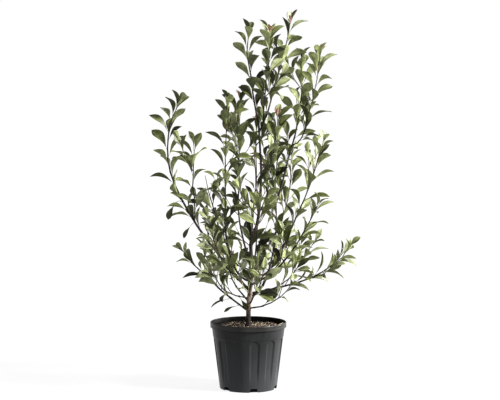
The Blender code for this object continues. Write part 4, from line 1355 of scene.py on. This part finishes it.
def notch_blocks():
    """Blocks with sloping sides and rounded tops that open the pot's foot corner."""
    top = NOTCH_HEIGHT * NOTCH_GROWTH
    outline = [(-0.5, -0.010), (0.5, -0.010)]
    outline += [(0.5, 0.0), (0.46, 0.45 * top), (0.41, 0.85 * top), (0.34, top)]
    outline += [(-across, height) for across, height in reversed(outline[2:])]
    vertices = []
    faces = []
    for notch in range(NOTCH_COUNT):
        angle = NOTCH_TURN + 2.0 * math.pi * notch / NOTCH_COUNT
        out = Vector((math.sin(angle), -math.cos(angle), 0.0))
        side = Vector((math.cos(angle), math.sin(angle), 0.0))
        first = len(vertices)
        for reach in (POT_FOOT_RADIUS - NOTCH_DEPTH, POT_FOOT_RADIUS + 0.02):
            for across, height in outline:
                vertices.append(out * reach + side * (across * NOTCH_WIDTH) + UP * height)
        faces += [tuple(first + corner for corner in face) for face in ring_faces(2, len(outline))]
    heap = Heap()
    heap.add(vertices, faces)
    block = heap.build("notch_blocks", [], None)
    body = bmesh.new()
    body.from_mesh(block.data)
    bmesh.ops.recalc_face_normals(body, faces=body.faces)
    body.to_mesh(block.data)
    body.free()
    return block


def pot_material(name, roughness, colours, specular):
    """Black moulded plastic with flow marks down the wall, lighter towards the foot: partly a faint bloom of dust,
    partly painted shade that darkens the wall towards the rim.
    """
    material, tree, shader = new_material(name, roughness, specular)
    mottle(tree, shader, colours, 26.0, 9.0, (1.0, 1.0, 0.35), 0.55)
    add_dust_and_rim_shade(tree, shader, (0.0250, 0.0275, 0.0305), 0.20)
    roughen(tree, shader, 520.0, 0.14, 0.0005, 4.0, (1.0, 1.0, 0.3))
    return material


def add_dust_and_rim_shade(tree, shader, colour, top):
    """Lighter towards the foot, laid over the shader's colour: partly dust, partly painted shade that darkens the pot
    towards its rim.
    """
    skin = shader.inputs["Base Color"].links[0].from_socket
    place = tree.nodes.new("ShaderNodeTexCoord")
    split = tree.nodes.new("ShaderNodeSeparateXYZ")
    fade = tree.nodes.new("ShaderNodeMapRange")
    fade.inputs["From Max"].default_value = top
    fade.inputs["To Min"].default_value = 0.75
    fade.inputs["To Max"].default_value = 0.0
    blend = tree.nodes.new("ShaderNodeMix")
    blend.data_type = "RGBA"
    tree.links.new(place.outputs["Object"], split.inputs["Vector"])
    tree.links.new(split.outputs["Z"], fade.inputs["Value"])
    tree.links.new(fade.outputs["Result"], blend.inputs["Factor"])
    tree.links.new(skin, blend.inputs["A"])
    blend.inputs["B"].default_value = (*colour, 1.0)
    tree.links.new(blend.outputs["Result"], shader.inputs["Base Color"])


def soil_height(spot):
    """How far the soil stands over its level: level at the trunk, crumbly everywhere."""
    level = min(1.0, Vector((spot.x, spot.y)).length / 0.03)
    lift = level * (0.0024 * noise.noise(spot * 38.0) + 0.0016 * noise.noise(spot * 150.0))
    return lift + 0.0010 * abs(noise.noise(spot * 420.0)) - 0.0012 * level


def dress_soil():
    """Potting soil: an uneven crumbly top with bark chips and bits of straw."""
    inside = POT_WALL_RADIUS - POT_WALL - 0.0004
    rings = [(wall_radius(POT_FLOOR) - INNER_SETBACK - GAP, POT_FLOOR + GAP)]
    rings += [(wall_radius(0.190) - INNER_SETBACK - GAP, 0.190), (inside, SOIL_TOP - 0.001)]
    steps = 40
    rings += [(inside * (1.0 - index / steps) + 0.0005, SOIL_TOP) for index in range(1, steps)]
    angles = [2.0 * math.pi * index / 180 for index in range(180)]
    vertices, faces = turned_mesh(rings, angles)
    for vertex in vertices[3 * len(angles):]:
        vertex.z += soil_height(vertex)
    heap = Heap()
    heap.add(vertices, faces)
    # The soil's sides and floor, seen through the foot's notches, get a near-black material: painted shade
    heap.slots = [1 if min(vertices[corner].z for corner in face) < POT_FLOOR + 0.001 else 0 for face in faces]
    material, tree, shader = new_material("soil_dark", 0.95, 0.2)
    mottle(tree, shader, ((0.010, 0.007, 0.006), (0.030, 0.021, 0.016), (0.085, 0.062, 0.046)), 260.0, 8.0)
    roughen(tree, shader, 900.0, 0.9, 0.002)
    soil_notch_shade, tree, shader = new_material("soil_packed", 0.95, 0.05)
    mottle(tree, shader, ((0.0015, 0.0012, 0.0010), (0.0030, 0.0024, 0.0020), (0.0060, 0.0048, 0.0038)), 200.0)
    roughen(tree, shader, 600.0, 0.6, 0.001)
    soil = heap.build("soil_top", [material, soil_notch_shade], "soil_earth")
    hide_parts("soil")
    rng = random.Random("chips")
    chips = Heap()
    for _ in range(1300):
        place = soil_spot(rng, inside * 0.97, 0.012)
        size = rng.uniform(0.0012, 0.0040) * (1.6 if rng.random() < 0.12 else 1.0)
        add_chip(chips, rng, place, size)
    tones = ((0.012, 0.009, 0.007), (0.052, 0.037, 0.028), (0.170, 0.126, 0.092), (0.42, 0.34, 0.26))
    chips.build("bark_chips", [chip_material(index, tone) for index, tone in enumerate(tones)], "soil_earth", False)
    straws = Heap()
    for _ in range(46):
        add_straw(straws, soil_spot(rng, inside * 0.86, 0.05), rng.uniform(0.0, 2.0 * math.pi),
                  rng.uniform(0.010, 0.028), rng.uniform(-0.15, 0.15))
    add_straw(straws, Vector((0.108, -0.020, SOIL_TOP + 0.008)), 0.35, 0.042, 0.1, 0.40)
    straw, tree, shader = new_material("straw", 0.7, 0.3)
    mottle(tree, shader, ((0.30, 0.22, 0.13), (0.50, 0.40, 0.26), (0.66, 0.56, 0.40)), 200.0)
    roughen(tree, shader, 1200.0, 0.4, 0.0005)
    straws.build("straw_bits", [straw], "soil_earth")


def soil_spot(rng, radius, inner):
    """A random place on the soil's surface, evenly spread over its area."""
    reach = radius * math.sqrt(rng.uniform(inner, 1.0))
    angle = rng.uniform(0.0, 2.0 * math.pi)
    spot = Vector((reach * math.cos(angle), reach * math.sin(angle), SOIL_TOP))
    return spot + UP * (soil_height(spot) + 0.0004)


def chip_material(index, tone):
    """Splintered bark of one tone."""
    material, tree, shader = new_material(f"bark_chip_{index}", 0.85, 0.2)
    mottle(tree, shader, (shade(tone, 0.6), tone, shade(tone, 1.3)), 300.0)
    roughen(tree, shader, 1500.0, 0.5, 0.0006)
    return material


def add_chip(heap, rng, place, size):
    """A small splintered chip of bark, laid at any turn."""
    long_side = size * rng.uniform(1.2, 3.4)
    turn = rng.uniform(0.0, 2.0 * math.pi)
    tilt = rng.uniform(-0.70, 0.70)
    along = Vector((math.cos(turn) * math.cos(tilt), math.sin(turn) * math.cos(tilt), math.sin(tilt)))
    side = along.cross(UP).normalized()
    up = side.cross(along)
    vertices = []
    for lift in (-0.20, 0.20):
        for across, ahead in ((-0.5, -0.5), (0.5, -0.42), (0.42, 0.5), (-0.3, 0.6)):
            jitter = Vector([rng.uniform(-0.12, 0.12) for _ in range(3)]) * size
            vertices.append(place + side * (across * size) + along * (ahead * long_side) + up * (lift * size) + jitter)
    # Painted light and shadow: chips are dealt paler to the right, where the key light falls, and darker in a band
    # just left of the trunk, where the shadow of the trunk and leaves falls
    pale = 1.0 + 11.0 * max(0.0, place.x - 0.012) - 0.65 * math.exp(-((place.x + 0.022) / 0.028) ** 2)
    slot = rng.choices((0, 1, 2, 3), weights=(5.0, 4.0, 4.0 * pale, 1.6 * pale))[0]
    heap.add(vertices, ring_faces(2, 4), slot)


def add_straw(heap, place, turn, length, bow, rise=0.04):
    """A bent bit of straw."""
    along = Vector((math.cos(turn), math.sin(turn), rise))
    aside = Vector((-math.sin(turn), math.cos(turn), 0.0)) * bow
    points = [place + along * (length * (mark - 0.5)) + aside * (length * mark * (1.0 - mark))
              for mark in (0.0, 0.25, 0.5, 0.75, 1.0)]
    heap.add(*tube(Path(points, [0.0005, 0.0007, 0.0007, 0.0007, 0.0005]), 6))


def add_floor():
    """A pale floor that goes on out of sight."""
    size = 60.0
    corners = [Vector((x, y, 0.0)) for x, y in ((-size, -size), (size, -size), (size, size), (-size, size))]
    heap = Heap()
    heap.add(corners, [(0, 1, 2, 3)])
    material, tree, shader = new_material("floor_pale", 0.9, 0.1)
    shader.inputs["Base Color"].default_value = (0.050, 0.050, 0.050, 1.0)
    shader.inputs["Emission Color"].default_value = (1.0, 1.0, 1.0, 1.0)
    shader.inputs["Emission Strength"].default_value = 0.89
    floor = heap.build("studio_floor", [material], None)


def add_studio():
    """White surroundings, a broad soft key light from the right, and the camera."""
    world = bpy.data.worlds.new("studio")
    bpy.context.scene.world = world
    world.use_nodes = True
    tree = world.node_tree
    place = tree.nodes.new("ShaderNodeTexCoord")
    split = tree.nodes.new("ShaderNodeSeparateXYZ")
    upward = tree.nodes.new("ShaderNodeMapRange")
    upward.interpolation_type = "SMOOTHSTEP"
    for socket, value in (("From Min", 0.22), ("From Max", 0.62), ("To Min", 1.01), ("To Max", 0.30)):
        upward.inputs[socket].default_value = value
    across = tree.nodes.new("ShaderNodeVectorMath")
    across.operation = "DOT_PRODUCT"
    across.inputs[1].default_value = (0.90, 0.0, 0.44)
    cube = tree.nodes.new("ShaderNodeMath")
    cube.operation = "POWER"
    cube.inputs[1].default_value = 3.0
    level = tree.nodes.new("ShaderNodeMath")
    level.operation = "MULTIPLY_ADD"
    level.inputs[1].default_value = 1.5
    keep = tree.nodes.new("ShaderNodeClamp")
    keep.inputs["Min"].default_value = 0.42
    keep.inputs["Max"].default_value = 1.7
    tree.links.new(place.outputs["Generated"], split.inputs["Vector"])
    tree.links.new(split.outputs["Z"], upward.inputs["Value"])
    tree.links.new(upward.outputs["Result"], level.inputs[2])
    tree.links.new(place.outputs["Generated"], across.inputs[0])
    tree.links.new(across.outputs["Value"], cube.inputs[0])
    tree.links.new(cube.outputs["Value"], level.inputs[0])
    tree.links.new(level.outputs["Value"], keep.inputs["Value"])
    tree.links.new(keep.outputs["Result"], tree.nodes["Background"].inputs["Strength"])
    tree.nodes["Background"].inputs["Color"].default_value = (1.0, 1.0, 1.0, 1.0)
    for name, energy, angle, way in (
        ("key", 12.0, 12.0, (1.0, -0.35, 0.66)),
        ("side", 4.5, 12.0, (1.0, 0.40, 0.12)),
    ):
        lamp = bpy.data.lights.new(name, "SUN")
        lamp.energy = energy
        lamp.angle = math.radians(angle)
        lamp.color = (1.0, 0.985, 0.95)
        light = bpy.data.objects.new(name, lamp)
        light.rotation_euler = Vector(way).to_track_quat("Z", "Y").to_euler()
        bpy.context.scene.collection.objects.link(light)
    data = bpy.data.cameras.new("camera")
    data.lens = 98.7
    data.sensor_width = 36.0
    camera = bpy.data.objects.new("camera", data)
    camera.location = (0.0062, -4.99, 0.981)
    camera.rotation_euler = (math.radians(90.0 - 3.34), 0.0, 0.0)
    bpy.context.scene.collection.objects.link(camera)
    bpy.context.scene.camera = camera
    bpy.context.scene.view_settings.view_transform = "Standard"


dress_crown()
dress_pot()
dress_soil()
add_floor()
add_studio()
